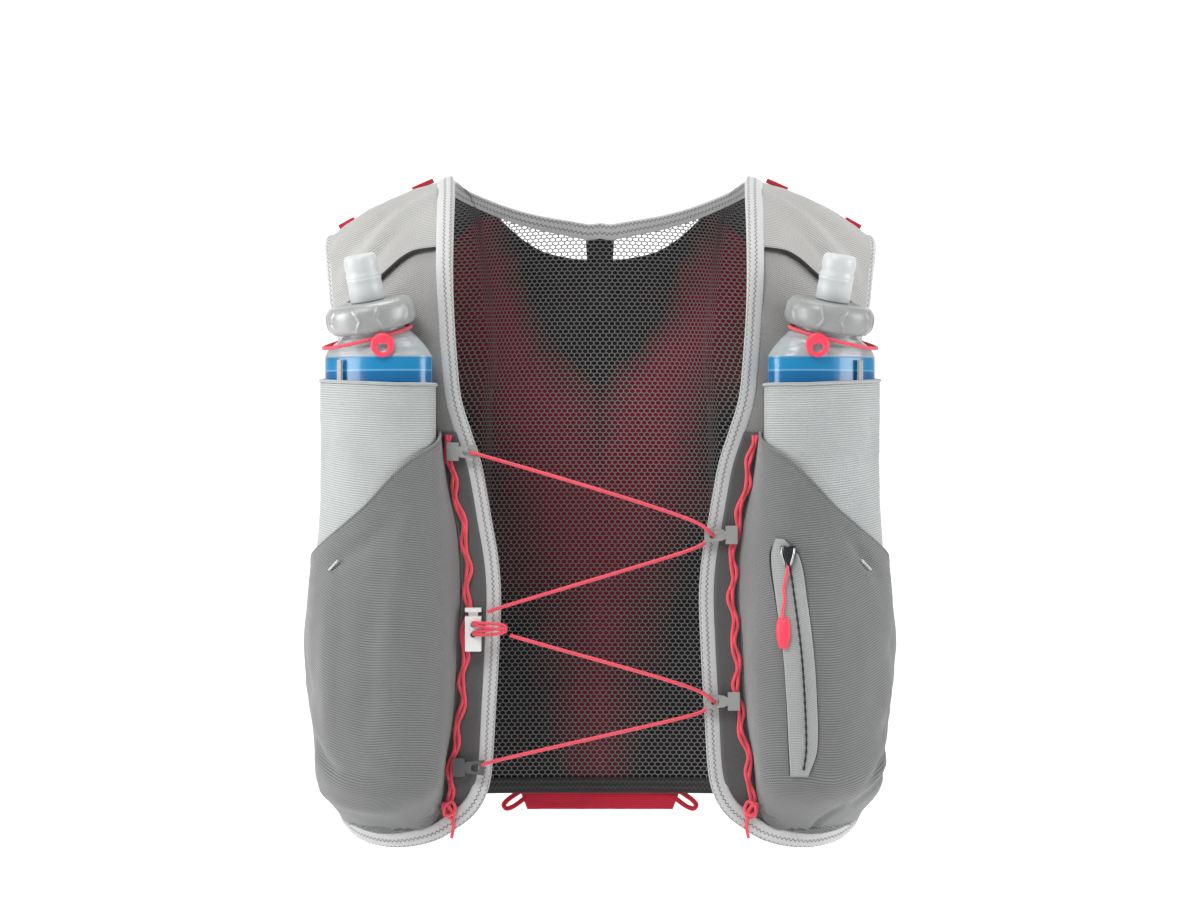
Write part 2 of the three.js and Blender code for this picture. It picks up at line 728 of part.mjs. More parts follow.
function flaskBody(count = 12) {
  const rings = [];
  const bodyDrops = [0, 0.05, 0.3, 0.6, 0.97];
  const round = [0.82, 1, 1, 1, 1];
  const add = (shrink) => {
    const list = bodyDrops.map((share, i) => {
      const drop = lerp(flaskBottomDrop - shrink, flaskShoulderDrop, share);
      const { centre, t, n } = flaskFrame(drop);
      const size = round[i];
      return ringAt(centre, t, n.clone().negate(), flaskHalfWidth * size - shrink, flaskHalfDepth * size - shrink, count);
    });
    list.push(...flaskShoulder.map((row) => flaskRing(row, shrink, count)));
    return list;
  };
  const neckRing = (radius, height) => ringAt(neckBase.clone().addScaledVector(neckAxis, height), neckU, neckV,
    radius, radius, count);
  rings.push(...add(0), neckRing(neckRadius, 0.4), neckRing(neckRadius, neckHeight));
  rings.push(neckRing(neckRadius - neckWall, neckHeight), neckRing(neckRadius - neckWall, 0.4));
  rings.push(...add(flaskWall).reverse());
  return throughRings(rings);
}

// Round piece about the neck's axis from a closed profile of (radius, height)
function turned(profile, count) {
  const rings = profile.map(([radius, height]) => ringAt(new THREE.Vector3(0, 0, height),
    new THREE.Vector3(1, 0, 0), new THREE.Vector3(0, 1, 0), radius, radius, count));
  return throughRings(rings, true).applyMatrix4(neckMatrix);
}

const capBottom = 1.6;
const capSeat = neckHeight + gap; // underside of the cap's top
function flaskCap() {
  const top = capBottom + capHeight;
  const skirt = neckRadius + gap;
  return turned([
    [skirt, capBottom], [capRadius - 3, capBottom], [capRadius, capBottom + 4],
    [capRadius, top - 4.5], [capRadius - 2.2, top - 0.8], [capRadius - 5, top],
    [boreRadius, top], [boreRadius, top - capTop], [skirt, capSeat],
  ], 16);
}

// Bite valve: stem through the cap's bore, barrel with a ring, and a mouth
function biteValve() {
  const seat = capBottom + capHeight + gap;
  const stem = boreRadius - gap;
  const profile = [
    [0, seat - capTop - 2], [stem, seat - capTop - 2], [stem, seat], [valveRadius, seat],
    [valveRadius - 0.2, seat + valveHeight * 0.5], [valveRadius + 0.3, seat + valveHeight * 0.55],
    [valveRadius - 0.6, seat + valveHeight * 0.63], [valveRadius - 0.2, seat + valveHeight * 0.8],
    [valveRadius - 1.2, seat + valveHeight * 0.97], [valveRadius * 0.45, seat + valveHeight],
    [valveRadius * 0.3, seat + valveHeight * 0.8], [0, seat + valveHeight * 0.78],
  ].map(([r, h]) => new THREE.Vector2(r, h));
  return new THREE.LatheGeometry(profile, 10).rotateX(Math.PI / 2).applyMatrix4(neckMatrix);
}

// Elastic cord round the flask's neck, lower at the outer side, and its pull tab
const retentionReach = 27;
const retentionDepth = 21.6;
const retentionShift = 4.6; // of its middle to the outer side
const retentionBelow = 2.6; // the neck's base
const retentionTilt = 4; // degrees beyond the neck's own lean
function retentionLoop() {
  const tilt = rad(retentionTilt);
  const u = neckU.clone().multiplyScalar(Math.cos(tilt)).addScaledVector(neckAxis, -Math.sin(tilt));
  const centre = neckBase.clone().addScaledVector(neckAxis, -retentionBelow).addScaledVector(neckU, retentionShift);
  return cordThrough(ringAt(centre, u, neckV, retentionReach, retentionDepth, 18), retentionCord, 6, true);
}

const pullWidth = 14;
const pullHeight = 15;
function pullTab() {
  const shape = new THREE.Shape();
  shape.absellipse(0, 0, pullWidth / 2, pullHeight / 2, 0, 2 * Math.PI);
  const hole = new THREE.Path();
  hole.absellipse(0, -pullHeight * 0.1, pullWidth * 0.3, pullHeight * 0.22, 0, 2 * Math.PI);
  shape.holes.push(hole);
  const tab = new THREE.ExtrudeGeometry(shape, { depth: 2, bevelEnabled: false, curveSegments: 5 });
  const front = neckBase.y - retentionDepth - retentionCord / 2 - gap;
  return tab.rotateX(Math.PI / 2).translate(neckBase.x - 7, front, neckBase.z - 9);
}

// Pockets over the flask

const railAcross = (drop) => {
  const climb = archDrop - drop;
  return acrossOf(neckHalfWidth * column(railRows, 'drop', 'reach', drop / vestLength), climb);
};

// Where the pockets start beside the rail, so that their outer face clears it
const outerSeat = pocketWall + gap + 1;
const railWave = 0.9;
const railRoom = railWidth / 2 + railWave + 3.4 * gap;
const pocketStart = (drop) => Math.max(railAcross(drop) + railRoom + outerSeat + outerPocketWall,
  innerEdge(archDrop - drop) + gap + pocketWall);

// Where they end: at the side seam, and above it behind the flask at the armhole's edge
const armholeLow = armholeInside[lowest].y;
const pocketEnd = (climb) => Math.min(sideSeam, climb < armholeLow ? sideSeam : outerEdge(climb) + tuck) - gap;

const hugCache = new Map();
const pocketSeat = panelWall + gap + 0.5;
// Section of the inner pocket at a drop: from the rail, round the flask, to the side seam
function hugLine(drop) {
  const key = drop.toFixed(3);
  if (!hugCache.has(key)) {
    const climb = archDrop - drop;
    const { centre, t, n } = flaskFrame(drop);
    const spare = 1.8;
    const around = [-84, -55, -25, 5, 35, 62, 84].map((degree) => centre.clone()
      .addScaledVector(t, (flaskHalfWidth + spare) * Math.sin(rad(degree)))
      .addScaledVector(n, (flaskHalfDepth + spare) * Math.cos(rad(degree))));
    const start = cloth(FRONT, pocketStart(drop), climb, pocketSeat);
    const end = cloth(FRONT, pocketEnd(climb), climb, pocketSeat + gap);
    const middle = around.at(-1).clone().lerp(end, 0.5)
      .lerp(cloth(FRONT, sideSeam * 0.82, climb, pocketSeat + 6), clamp((armholeLow - climb) / 40, 0, 1));
    hugCache.set(key, new THREE.CatmullRomCurve3([start, ...around, middle, end], false, 'centripetal'));
  }
  return hugCache.get(key);
}

function pocketPoint(around, drop) {
  const fade = clamp((vestLength - 14 - drop) / (vestLength - 14 - flaskBottomDrop - 5), 0, 1);
  const fullness = Math.sqrt(Math.sin((Math.PI / 2) * fade)) || 0;
  const climb = archDrop - drop;
  const across = lerp(pocketStart(drop), pocketEnd(climb), around);
  const flat = cloth(FRONT, across, climb, pocketSeat);
  return flat.lerp(hugLine(drop).getPointAt(around), fullness);
}

function pocket(around, drop, lift) {
  const u = clamp(around, 0.006, 0.994);
  const a = pocketPoint(u + 0.005, drop).sub(pocketPoint(u - 0.005, drop));
  const b = pocketPoint(u, drop - 1).sub(pocketPoint(u, drop + 1));
  return pocketPoint(around, drop).addScaledVector(a.cross(b).normalize(), lift);
}

function flaskPocket() {
  const pouch = wall(6, 15, (row, col, outer) => {
    const mouth = mouthDrop - mouthRise * clamp((col - 0.3) / 0.5, 0, 1);
    const drop = lerp(mouth, flaskBottomDrop + 2, row);
    return pocket(col, drop, outer ? pocketWall : 0);
  });
  return carved(pouch, armholeRoom, openingRoom);
}

const pocketHem = (around) => {
  const across = lerp(acrossOf(neckHalfWidth, archDrop - vestLength), sideSeam - gap, around);
  return archDrop - hemEdge(across) - gap;
};
const slopeDrop = (around) => vestLength * column(slopeRows, 'around', 'drop', around);

function outerPocket() {
  const full = 0.6; // share of the rows above the flask's bottom
  const pouch = wall(9, 15, (row, col, outer) => {
    const drop = row < full ? lerp(slopeDrop(col), flaskBottomDrop - 6, row / full)
      : lerp(flaskBottomDrop - 6, pocketHem(col), (row - full) / (1 - full));
    return pocket(col, drop, outerSeat + (outer ? outerPocketWall : 0));
  });
  return carved(pouch, openingRoom);
}

// Dark strip between the binding and the rail
function frontStrip() {
  const top = railRows[0].drop * vestLength;
  const bottom = openingRows.at(-1).drop * vestLength - clothEdge - 4;
  return wall(12, 1, (row, col, outer) => {
    const drop = lerp(top, bottom, row);
    const climb = archDrop - drop;
    const across = lerp(innerEdge(climb), railAcross(drop) + railRoom - 3 * gap, col);
    return cloth(FRONT, across, climb, panelWall + gap + (outer ? tapeWall : 0));
  });
}

// Rail cord: a gathered flat band that waves from side to side
const railLift = panelWall + gap + tapeWall + gap;
function railCord() {
  const top = railRows[0].drop * vestLength + 2;
  const bottom = openingRows.at(-1).drop * vestLength - 2;
  const steps = 22;
  const rings = Array.from({ length: steps + 1 }, (_, i) => {
    const drop = lerp(top, bottom, i / steps);
    const climb = archDrop - drop;
    const middle = railAcross(drop) + railWave * Math.sin(i * 1.3);
    const corner = (side, lift) => cloth(FRONT, middle + (side * railWidth) / 2, climb, railLift + lift);
    return [corner(-1, railWall / 2), corner(-0.6, 0), corner(0.6, 0), corner(1, railWall / 2),
      corner(0.6, railWall), corner(-0.6, railWall)];
  });
  return throughRings(rings);
}

// Elastic loop over the flask at the outer end of the mouth
const loopWidth = 4;
const loopHeight = 12;
function pocketLoop() {
  return wall(4, 1, (row, col, outer) => {
    const around = 0.52 + (loopWidth * (col - 0.5)) / 200;
    const drop = mouthDrop - mouthRise * 0.6 - gap - loopHeight + loopHeight * row;
    return pocket(around, Math.max(drop, flaskShoulderDrop + 2), outer ? tapeWall : 0);
  });
}

// Thin cord loop on the panel behind each valve
function cordLoop() {
  const foot = { reach: 0.849 * shoulderHalfWidth, drop: 0.717 * archDrop };
  const climb = climbAt(foot.reach, foot.drop);
  const across = acrossOf(foot.reach, climb);
  const points = [[-3, 0, 0], [-2.6, 7, 4], [0, 14, 6.5], [2.6, 7, 4], [3, 0, 0]].map(([a, c, lift]) => cloth(FRONT,
    across + a, climb + c, panelWall + thinCord / 2 - 0.6 + lift));
  return cordThrough(smoothLine(points, 8), thinCord, 6);
}

// Hooks and cord lock, drawn facing forward

function facing(shape, thickness, front) {
  const piece = new THREE.ExtrudeGeometry(shape, { depth: thickness, bevelEnabled: false, curveSegments: 6 });
  return piece.rotateX(Math.PI / 2).translate(0, front + thickness, 0);
}

const hookBack = (x, drop) => {
  const climb = archDrop - drop;
  return cloth(FRONT, acrossOf(Math.abs(x), climb), climb, (panelWall + bindingWall) / 2 + hookStandOff).y;
};

// Hook with a plate on the rail and an eye over the binding; direction -1 turns the eye to -X
function hook(plateX, eyeX, drop, direction) {
  const plateHalf = 3.6;
  const high = 5.5;
  const eyeHalf = 5.4;
  const shape = new THREE.Shape();
  const p = (x, z) => [plateX + direction * x, -drop + z];
  const reach = Math.abs(eyeX - plateX);
  const root = Math.max(reach - eyeHalf, plateHalf + 0.6);
  const outline = [[-plateHalf, -high], [plateHalf, -high], [plateHalf, -2.2], [root, -3.4],
    [reach + eyeHalf, -4.6], [reach + eyeHalf, 4.6], [root, 3.4], [plateHalf, 2.2],
    [plateHalf, high], [-plateHalf, high]];
  outline.forEach(([x, z], i) => (i ? shape.lineTo(...p(x, z)) : shape.moveTo(...p(x, z))));
  shape.closePath();
  const hole = new THREE.Path();
  hole.absarc(eyeX, -drop, chestCord / 2 + 1.5, 0, 2 * Math.PI);
  shape.holes.push(hole);
  // The flat hook leans with the cloth from its eye to its plate
  const lean = (hookBack(plateX, drop) - hookBack(eyeX, drop)) / (plateX - eyeX);
  const flat = facing(shape, hookWall, hookBack(eyeX, drop) - hookWall - lean * eyeX);
  return flat.applyMatrix4(new THREE.Matrix4().makeShear(lean, 0, 0, 0, 0, 0));
}

const hooks = {
  hook_upper_right: { plate: -88.6, eye: -80, drop: 171 },
  hook_upper_left: { plate: 79, eye: 68, drop: 221 },
  hook_lower_left: { plate: 80.4, eye: 69, drop: 321 },
  hook_lower_right: { plate: -85, eye: -75, drop: 361 },
};

// Cord lock: hollow barrel with two cord holes, and a sprung button above it
const lock = { x: -76, drop: 267 };
const lockStand = 1; // closer to the cloth than the hooks
const lockBack = hookBack(lock.x, lock.drop) + lockStand;
const lockMiddle = lockBack - lockDepth / 2;
const lockHoles = [5, 11]; // below the barrel's top
const lockNeck = { width: 5.6, depth: 4.2, length: 12 };
const barrelTop = -lock.drop - lockTravel;

function lockBarrel() {
  let barrel = toSolid(boxAt(lockWidth, lockDepth, lockLength, lock.x, lockMiddle, barrelTop - lockLength / 2));
  const bore = lockNeck.length + lockTravel + gap;
  barrel = barrel.subtract(toSolid(boxAt(lockNeck.width + 2 * gap, lockNeck.depth + 2 * gap, bore + 1, lock.x,
    lockMiddle, barrelTop - bore / 2 + 0.5)));
  for (const below of lockHoles) {
    const hole = new THREE.CylinderGeometry(1.7, 1.7, lockDepth, 12);
    barrel = barrel.subtract(toSolid(hole.translate(lock.x, lockMiddle - lockDepth / 2, barrelTop - below)));
  }
  return fromSolid(barrel);
}

function lockButton() {
  const head = 2.4;
  const neck = toSolid(boxAt(lockNeck.width, lockNeck.depth, lockNeck.length + 1, lock.x, lockMiddle,
    -lock.drop - lockNeck.length / 2 + 0.5));
  const cap = toSolid(boxAt(lockWidth, lockDepth, head, lock.x, lockMiddle, -lock.drop + head / 2));
  return fromSolid(neck.add(cap));
}

// Chest cord: laced from hook to hook; each route is a list of (x, drop, forward of the hook's back)
const lacedY = (x, drop, forward) => {
  const held = clamp(Math.abs(x), 60, 90);
  return hookBack(held, drop) - forward;
};
const front = hookWall + gap + chestCord / 2;
const lacing = {
  chest_cord_upper: [
    [-78.2, 171.4, front], [-74, 172.4, front], [60, 214.5, front], [65.4, 219.2, front], [67.2, 220.4, front - 0.8],
    [68.1, 221, 1.4], [67.6, 221.6, -0.6], [65.6, 223, -1.6], [61, 227, -1.6], [54, 230, 0],
    [-60, 264.6, 1], [-67.5, 267.2, 2],
  ],
  chest_cord_lower: [
    [-54, 281, front], [60, 314.8, front], [66.4, 319.2, front], [68.2, 320.4, front - 0.8], [69.1, 321, 1.4],
    [68.6, 321.6, -0.6], [66.6, 323, -1.6], [61, 327.4, -1.6], [54, 329.6, 0], [-66, 357.4, front],
    [-71, 359.2, front],
  ],
};
const lockCords = {
  lock_cord_upper: [lockHoles[0], -1.4],
  lock_cord_lower: [lockHoles[1], 1.4],
};

function laced(route) {
  return cordThrough(route.map(([x, drop, forward]) => new THREE.Vector3(x, lacedY(x, drop, forward), -drop)),
    chestCord);
}

function lockCord(below, spread) {
  const drop = lock.drop + lockTravel + below;
  const face = lockBack - lockDepth;
  const points = [[0, face + 1.2, 0], [0, face - 1.2, 0.2], [4, face - 2.4, 0.5], [10, face - 0.6, 0.8],
    [16, face + 1.5, 0.9 - spread * 0.4], [18, face + 2, 0.9 - spread * 0.6]];
  return cordThrough(points.map(([x, y, z]) => new THREE.Vector3(lock.x + x, y, -drop - z + spread * 0.2)), thinCord);
}

// Knots where the rail cords end at the hem
const knotRadius = 4.2;
function railKnot() {
  const drop = openingRows.at(-1).drop * vestLength - 4;
  const climb = archDrop - drop;
  const centre = cloth(FRONT, railAcross(drop) - 1.5, climb, railLift + railWall + gap + knotRadius * 0.6);
  return new THREE.SphereGeometry(knotRadius, 8, 5).scale(1, 0.6, 1.2).translate(centre.x, centre.y, centre.z);
}

// Zip on the left outer pocket

// Share of the pocket's girth whose point lies at a reach from the centre
function aroundAt(reach, drop) {
  let low = 0.12;
  let high = 0.5;
  for (let i = 0; i < 20; i += 1) {
    const middle = (low + high) / 2;
    if (pocketPoint(middle, drop).x < reach) low = middle;
    else high = middle;
  }
  return low;
}

const zipSeat = outerSeat + outerPocketWall + 2 * gap;
function zipTape() {
  const girthLength = 205;
  return wall(12, 2, (row, col, outer) => {
    const at = lerp(zipRows[0].drop, zipRows.at(-1).drop, row);
    const drop = at * vestLength;
    const reach = bodyHalfWidth * column(zipRows, 'drop', 'reach', at);
    const wide = zipWidth * column(zipRows, 'drop', 'wide', at);
    const around = aroundAt(reach, drop) + (wide * (col - 0.5)) / girthLength;
    return pocket(around, drop, zipSeat + (outer ? tapeWall : 0));
  });
}

const sliderDrop = 233;
const sliderReach = 112.5;
const sliderSize = { width: 8.5, height: 13, wall: 3 };
const sliderSeat = zipSeat + tapeWall + gap;
const onPocket = (x, drop, lift) => pocket(aroundAt(x, drop), drop, lift);

function zipSlider() {
  return wall(2, 2, (row, col, outer) => {
    const drop = sliderDrop + sliderSize.height * (row - 0.5);
    const narrow = 1 - 0.35 * row;
    const x = sliderReach + sliderSize.width * narrow * (col - 0.5);
    return onPocket(x, drop, sliderSeat + (outer ? sliderSize.wall : 0));
  });
}

// The pull cord hangs from the slider to its moulded end
const pullRoute = [[112.3, 242, 1.2], [111, 247, 1.4], [109.6, 253, 1.2], [110.2, 259, 1.2], [109.6, 265, 1.2],
  [109.8, 270, 1.2]];
function zipPullCord() {
  const points = pullRoute.map(([x, drop, lift]) => onPocket(x, drop, sliderSeat + lift));
  return cordThrough(smoothLine(points, 9), thinCord, 6);
}

const pullEnd = { width: 7, length: 17, wall: 3.2 };
function zipPullEnd() {
  const [x, drop] = pullRoute.at(-1);
  return wall(4, 2, (row, col, outer) => {
    const at = drop + gap + pullEnd.length * row;
    const wide = pullEnd.width * (row < 0.6 ? 0.6 + 0.66 * row : 1.3 - 0.6 * row);
    return onPocket(x + wide * (col - 0.5), at, sliderSeat + (outer ? pullEnd.wall : 0));
  });
}

// Back

// Outer cloth of the pack: open along its top edge, closed to the net at the sides and the hem
const packSeat = panelWall + gap + 1.6;
const strapRoom = shoulderStrap(2 * gap);
function backPack() {
  const pack = wall(7, 12, (row, col, outer) => {
    const share = 2 * col - 1;
    const reach = share * packHalfWidth;
    const top = climbAt(Math.abs(reach), packTop(reach));
    const climb = lerp(top, backHemInside + gap, row);
    const across = Math.sign(share) * acrossOf(Math.abs(reach) * 0.98, Math.max(climb, archDrop - packTaper * vestLength));
    const mouth = 0.16 * clamp(1 - 2.2 * Math.abs(share), 0, 1); // how far the top edge stands open
    const bulge = packBulge * (1 - Math.abs(share) ** 2.4) * Math.sin(Math.PI * lerp(mouth, 1, row)) ** 0.8;
    return cloth(BACK, across, climb, packSeat + Math.max(bulge, 0) + (outer ? outerPocketWall : 0));
  });
  return carved(pack, armholeRoom, mirrored(armholeRoom), neckRoom, strapRoom, mirrored(strapRoom));
}

// Dark strap down the middle, between the two open windows of the net
function backStrap() {
  const half = 8;
  const start = neckBelow(0) + 2;
  const end = climbAt(0, packTop(0)) - strapTail;
  const strap = wall(4, 2, (row, col, outer) => {
    const wide = half * (1 - 0.3 * row);
    return cloth(BACK, wide * (2 * col - 1), lerp(start, end, row), panelWall + gap + (outer ? panelWall : 0));
  });
  return carved(strap, neckRoom);
}

const bottomHalf = 62;
const bottomHeight = 19;
function bottomPanel() {
  const top = archDrop - sideHem * vestLength + 8;
  const low = (panelWall + bindingWall) / 2 + gap;
  return wall(2, 10, (row, col, outer) => {
    const share = 2 * col - 1;
    const drawn = 1 - 0.12 * row;
    return cloth(BACK, bottomHalf * drawn * share, top - bottomHeight * row, low + (outer ? pocketWall : 0));
  });
}

function bottomLoop() {
  const base = bottomHalf + gap + loopCord / 2 + 1;
  const drop = sideHem * vestLength;
  const low = (panelWall + bindingWall) / 2 + gap + loopCord / 2;
  const points = [[1, -5], [2, 1], [7, 6], [12, 11.5], [8.5, 13.5], [3, 12], [-2.5, 10.5]];
  return cordThrough(smoothLine(points.map(([a, d]) => cloth(BACK, base + a, archDrop - drop - d, low)), 10),
    loopCord, 6);
}

function backHem() {
  const line = [];
  const count = 26;
  for (let i = 0; i <= count; i += 1) {
    const across = lerp(-sideSeam + seam, sideSeam - seam, i / count);
    line.push(new THREE.Vector2(across, hemClimb));
  }
  return bindingAlong(BACK, line, 1);
}

// Materials
const finish = (color, roughness, metalness = 0) => new THREE.MeshStandardMaterial({ color, roughness, metalness });
const greyCloth = finish(0xb2b1af, 0.9);
const paleCloth = finish(0xc8cbcb, 0.9);
const darkCloth = finish(0x7d7e7e, 0.9);
const bindingCloth = finish(0xd0d0d0, 0.85);
const netCloth = finish(0x33302f, 0.95);
const redCloth = finish(0xd21f35, 0.8);
const pinkCord = finish(0xf84b5c, 0.7);
const greyPlastic = finish(0xb4b4b4, 0.4);
const whitePlastic = finish(0xececec, 0.35);
const bluePlastic = finish(0x2f8fd0, 0.25);
const paleSilicone = finish(0xd5d8d8, 0.35);
const zipTapeCloth = finish(0xbcbdbd, 0.7);
const blackMetal = finish(0x1c1c1e, 0.35, 0.5);

const vest = new THREE.Group();

function add(name, geometry, material) {
  const mesh = new THREE.Mesh(geometry, material);
  mesh.name = name;
  vest.add(mesh);
}

function addPair(name, geometry, material) {
  for (const { side, sign } of sides) add(`${name}_${side}`, sign > 0 ? geometry : mirrored(geometry), material);
}

add('back_net', backNet(), netCloth);
add('back_strap', backStrap(), darkCloth);
add('back_pack', backPack(), greyCloth);
add('back_bottom_panel', bottomPanel(), redCloth);
add('back_hem_binding', backHem(), bindingCloth);
add('neck_binding', bindingAlong(BACK, neckLine, 1), bindingCloth);
addPair('bottom_loop', bottomLoop(), redCloth);
addPair('side_panel', sidePanel(), netCloth);
addPair('front_panel', frontPanel(), greyCloth);
addPair('front_binding', bindingAlong(FRONT, openingLine, 1), bindingCloth);
addPair('armhole_binding', bindingAlong(FRONT, armholeLine, -1), bindingCloth);
addPair('front_strip', frontStrip(), darkCloth);
addPair('shoulder_strap', shoulderStrap(), greyCloth);
addPair('shoulder_tab_inner', shoulderTab(tabReach.inner), redCloth);
addPair('shoulder_tab_outer', shoulderTab(tabReach.outer), redCloth);
addPair('flask_pocket', flaskPocket(), paleCloth);
addPair('outer_pocket', outerPocket(), darkCloth);
addPair('pocket_loop', pocketLoop(), bindingCloth);
addPair('cord_loop', cordLoop(), pinkCord);
addPair('rail_cord', railCord(), pinkCord);
addPair('rail_knot', railKnot(), pinkCord);
addPair('flask_body', flaskBody(), bluePlastic);
addPair('flask_cap', flaskCap(), greyPlastic);
addPair('bite_valve', biteValve(), paleSilicone);
addPair('retention_cord', retentionLoop(), pinkCord);
addPair('pull_tab', pullTab(), pinkCord);

for (const [name, { plate, eye, drop }] of Object.entries(hooks)) {
  add(name, hook(plate, eye, drop, Math.sign(eye - plate)), greyPlastic);
}
add('cord_lock', lockBarrel(), whitePlastic);
add('cord_lock_button', lockButton(), whitePlastic);
for (const [name, [below, spread]] of Object.entries(lockCords)) add(name, lockCord(below, spread), pinkCord);
for (const [name, route] of Object.entries(lacing)) add(name, laced(route), pinkCord);
add('zip_tape', zipTape(), zipTapeCloth);
add('zip_slider', zipSlider(), blackMetal);
add('zip_pull_cord', zipPullCord(), pinkCord);
add('zip_pull_end', zipPullEnd(), pinkCord);

export default vest;
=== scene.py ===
"""Looks of a running hydration vest: stretch cloth, net, bindings, soft flasks, elastic cords and a zip.

Sizes of the form are in millimetres, as on the maker's sheet, and every finished mesh is in metres.
Z points up, the front of the vest faces -Y, and the wearer's left side is at +X.
"""
from __future__ import annotations

import logging
import math
from dataclasses import dataclass
from enum import Enum
from functools import cached_property, lru_cache
from typing import Callable, Sequence

import bmesh
import bpy
from mathutils import Matrix, Vector, noise

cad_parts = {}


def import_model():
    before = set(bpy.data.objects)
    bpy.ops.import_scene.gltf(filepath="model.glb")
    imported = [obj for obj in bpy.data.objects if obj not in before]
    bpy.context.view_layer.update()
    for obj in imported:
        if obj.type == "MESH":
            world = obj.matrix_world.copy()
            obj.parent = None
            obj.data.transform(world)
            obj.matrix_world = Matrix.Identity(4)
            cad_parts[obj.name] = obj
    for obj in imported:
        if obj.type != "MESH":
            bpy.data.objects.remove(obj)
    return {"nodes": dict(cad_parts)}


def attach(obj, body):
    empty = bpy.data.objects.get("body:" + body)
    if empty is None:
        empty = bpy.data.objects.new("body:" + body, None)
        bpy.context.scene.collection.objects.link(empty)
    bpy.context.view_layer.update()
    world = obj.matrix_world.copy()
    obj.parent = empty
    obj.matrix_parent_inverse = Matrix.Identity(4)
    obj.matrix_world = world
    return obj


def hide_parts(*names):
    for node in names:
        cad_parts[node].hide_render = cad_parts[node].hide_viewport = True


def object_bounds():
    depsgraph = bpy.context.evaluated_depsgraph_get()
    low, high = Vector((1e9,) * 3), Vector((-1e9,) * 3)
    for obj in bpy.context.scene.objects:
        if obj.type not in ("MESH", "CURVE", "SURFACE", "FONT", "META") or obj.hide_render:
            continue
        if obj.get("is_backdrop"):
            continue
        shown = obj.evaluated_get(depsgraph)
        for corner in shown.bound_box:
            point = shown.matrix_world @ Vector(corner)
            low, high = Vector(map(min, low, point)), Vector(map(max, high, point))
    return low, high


LOG = logging.getLogger("vest")
MM = 0.001
FRONT = 1
BACK = -1
BODY = "vest"
BRAID_ROUND = 0.0064
Table = Sequence[tuple[float, float]]
Place = Callable[[float, float], Vector]
Height = Callable[[float, float], float]


class Side(Enum):
    """The two sides of the wearer."""

    LEFT = 1
    RIGHT = -1

    @property
    def word(self) -> str:
        """The side as the end of a node's name."""
        return self.name.lower()

    def turned(self, point: Vector) -> Vector:
        """The point, mirrored where this is the right side."""
        return Vector((point.x * self.value, point.y, point.z))


def lerp(a: float, b: float, t: float) -> float:
    """Straight blend of two numbers."""
    return a + (b - a) * t


def clamp(x: float, low: float = 0.0, high: float = 1.0) -> float:
    """The number held between two limits."""
    return max(low, min(high, x))


def smooth_value(rows: Table, at: float) -> float:
    """Smooth value of a table of (place, value) rows.

    Args:
        rows: Places and values, with the places rising or falling.
        at: Place to read.

    Returns:
        The value there, held constant past both ends.
    """
    last = len(rows) - 1
    rising = rows[last][0] > rows[0][0]
    x = clamp(at, min(rows[0][0], rows[last][0]), max(rows[0][0], rows[last][0]))
    i = 0
    while i < last - 1 and (x > rows[i + 1][0] if rising else x < rows[i + 1][0]):
        i += 1

    def slope(k: int) -> float:
        """Slope of the table at one row."""
        a, b = rows[max(k - 1, 0)], rows[min(k + 1, last)]
        return (b[1] - a[1]) / (b[0] - a[0])

    span = rows[i + 1][0] - rows[i][0]
    t = (x - rows[i][0]) / span
    return ((1 + 2 * t) * (1 - t) ** 2 * rows[i][1] + t * (1 - t) ** 2 * slope(i) * span
            + t * t * (3 - 2 * t) * rows[i + 1][1] + t * t * (t - 1) * slope(i + 1) * span)


def smooth_line(points: Sequence[Vector], count: int) -> list[Vector]:
    """Evenly spaced points along a smooth line.

    Args:
        points: Points that the line goes through.
        count: Number of steps along it.

    Returns:
        count + 1 points.
    """
    pts = [Vector(p) for p in points]
    pts = [pts[0] * 2 - pts[1], *pts, pts[-1] * 2 - pts[-2]]
    dense: list[Vector] = []
    for i in range(1, len(pts) - 2):
        p0, p1, p2, p3 = pts[i - 1:i + 3]
        d0, d1, d2 = (max((b - a).length, 1e-4) ** 0.5 for a, b in ((p0, p1), (p1, p2), (p2, p3)))
        t1 = ((p1 - p0) / d0 - (p2 - p0) / (d0 + d1) + (p2 - p1) / d1) * d1
        t2 = ((p2 - p1) / d1 - (p3 - p1) / (d1 + d2) + (p3 - p2) / d2) * d1
        for k in range(12):
            t = k / 12
            dense.append(p1 * (2 * t ** 3 - 3 * t * t + 1) + t1 * (t ** 3 - 2 * t * t + t)
                         + p2 * (3 * t * t - 2 * t ** 3) + t2 * (t ** 3 - t * t))
    dense.append(pts[-2])
    return spaced(dense, count)


def spaced(line: Sequence[Vector], count: int) -> list[Vector]:
    """The same line in even steps.

    Args:
        line: Dense points.
        count: Number of steps.

    Returns:
        count + 1 points.
    """
    run = [0.0]
    for a, b in zip(line, line[1:]):
        run.append(run[-1] + (b - a).length)
    found, k = [], 0
    for i in range(count + 1):
        goal = run[-1] * i / count
        while k < len(run) - 2 and run[k + 1] < goal:
            k += 1
        step = run[k + 1] - run[k]
        found.append(line[k].lerp(line[k + 1], clamp((goal - run[k]) / step if step else 0.0)))
    return found


def turns(count: int) -> list[float]:
    """Even angles round a full turn."""
    return [2 * math.pi * k / count for k in range(count)]


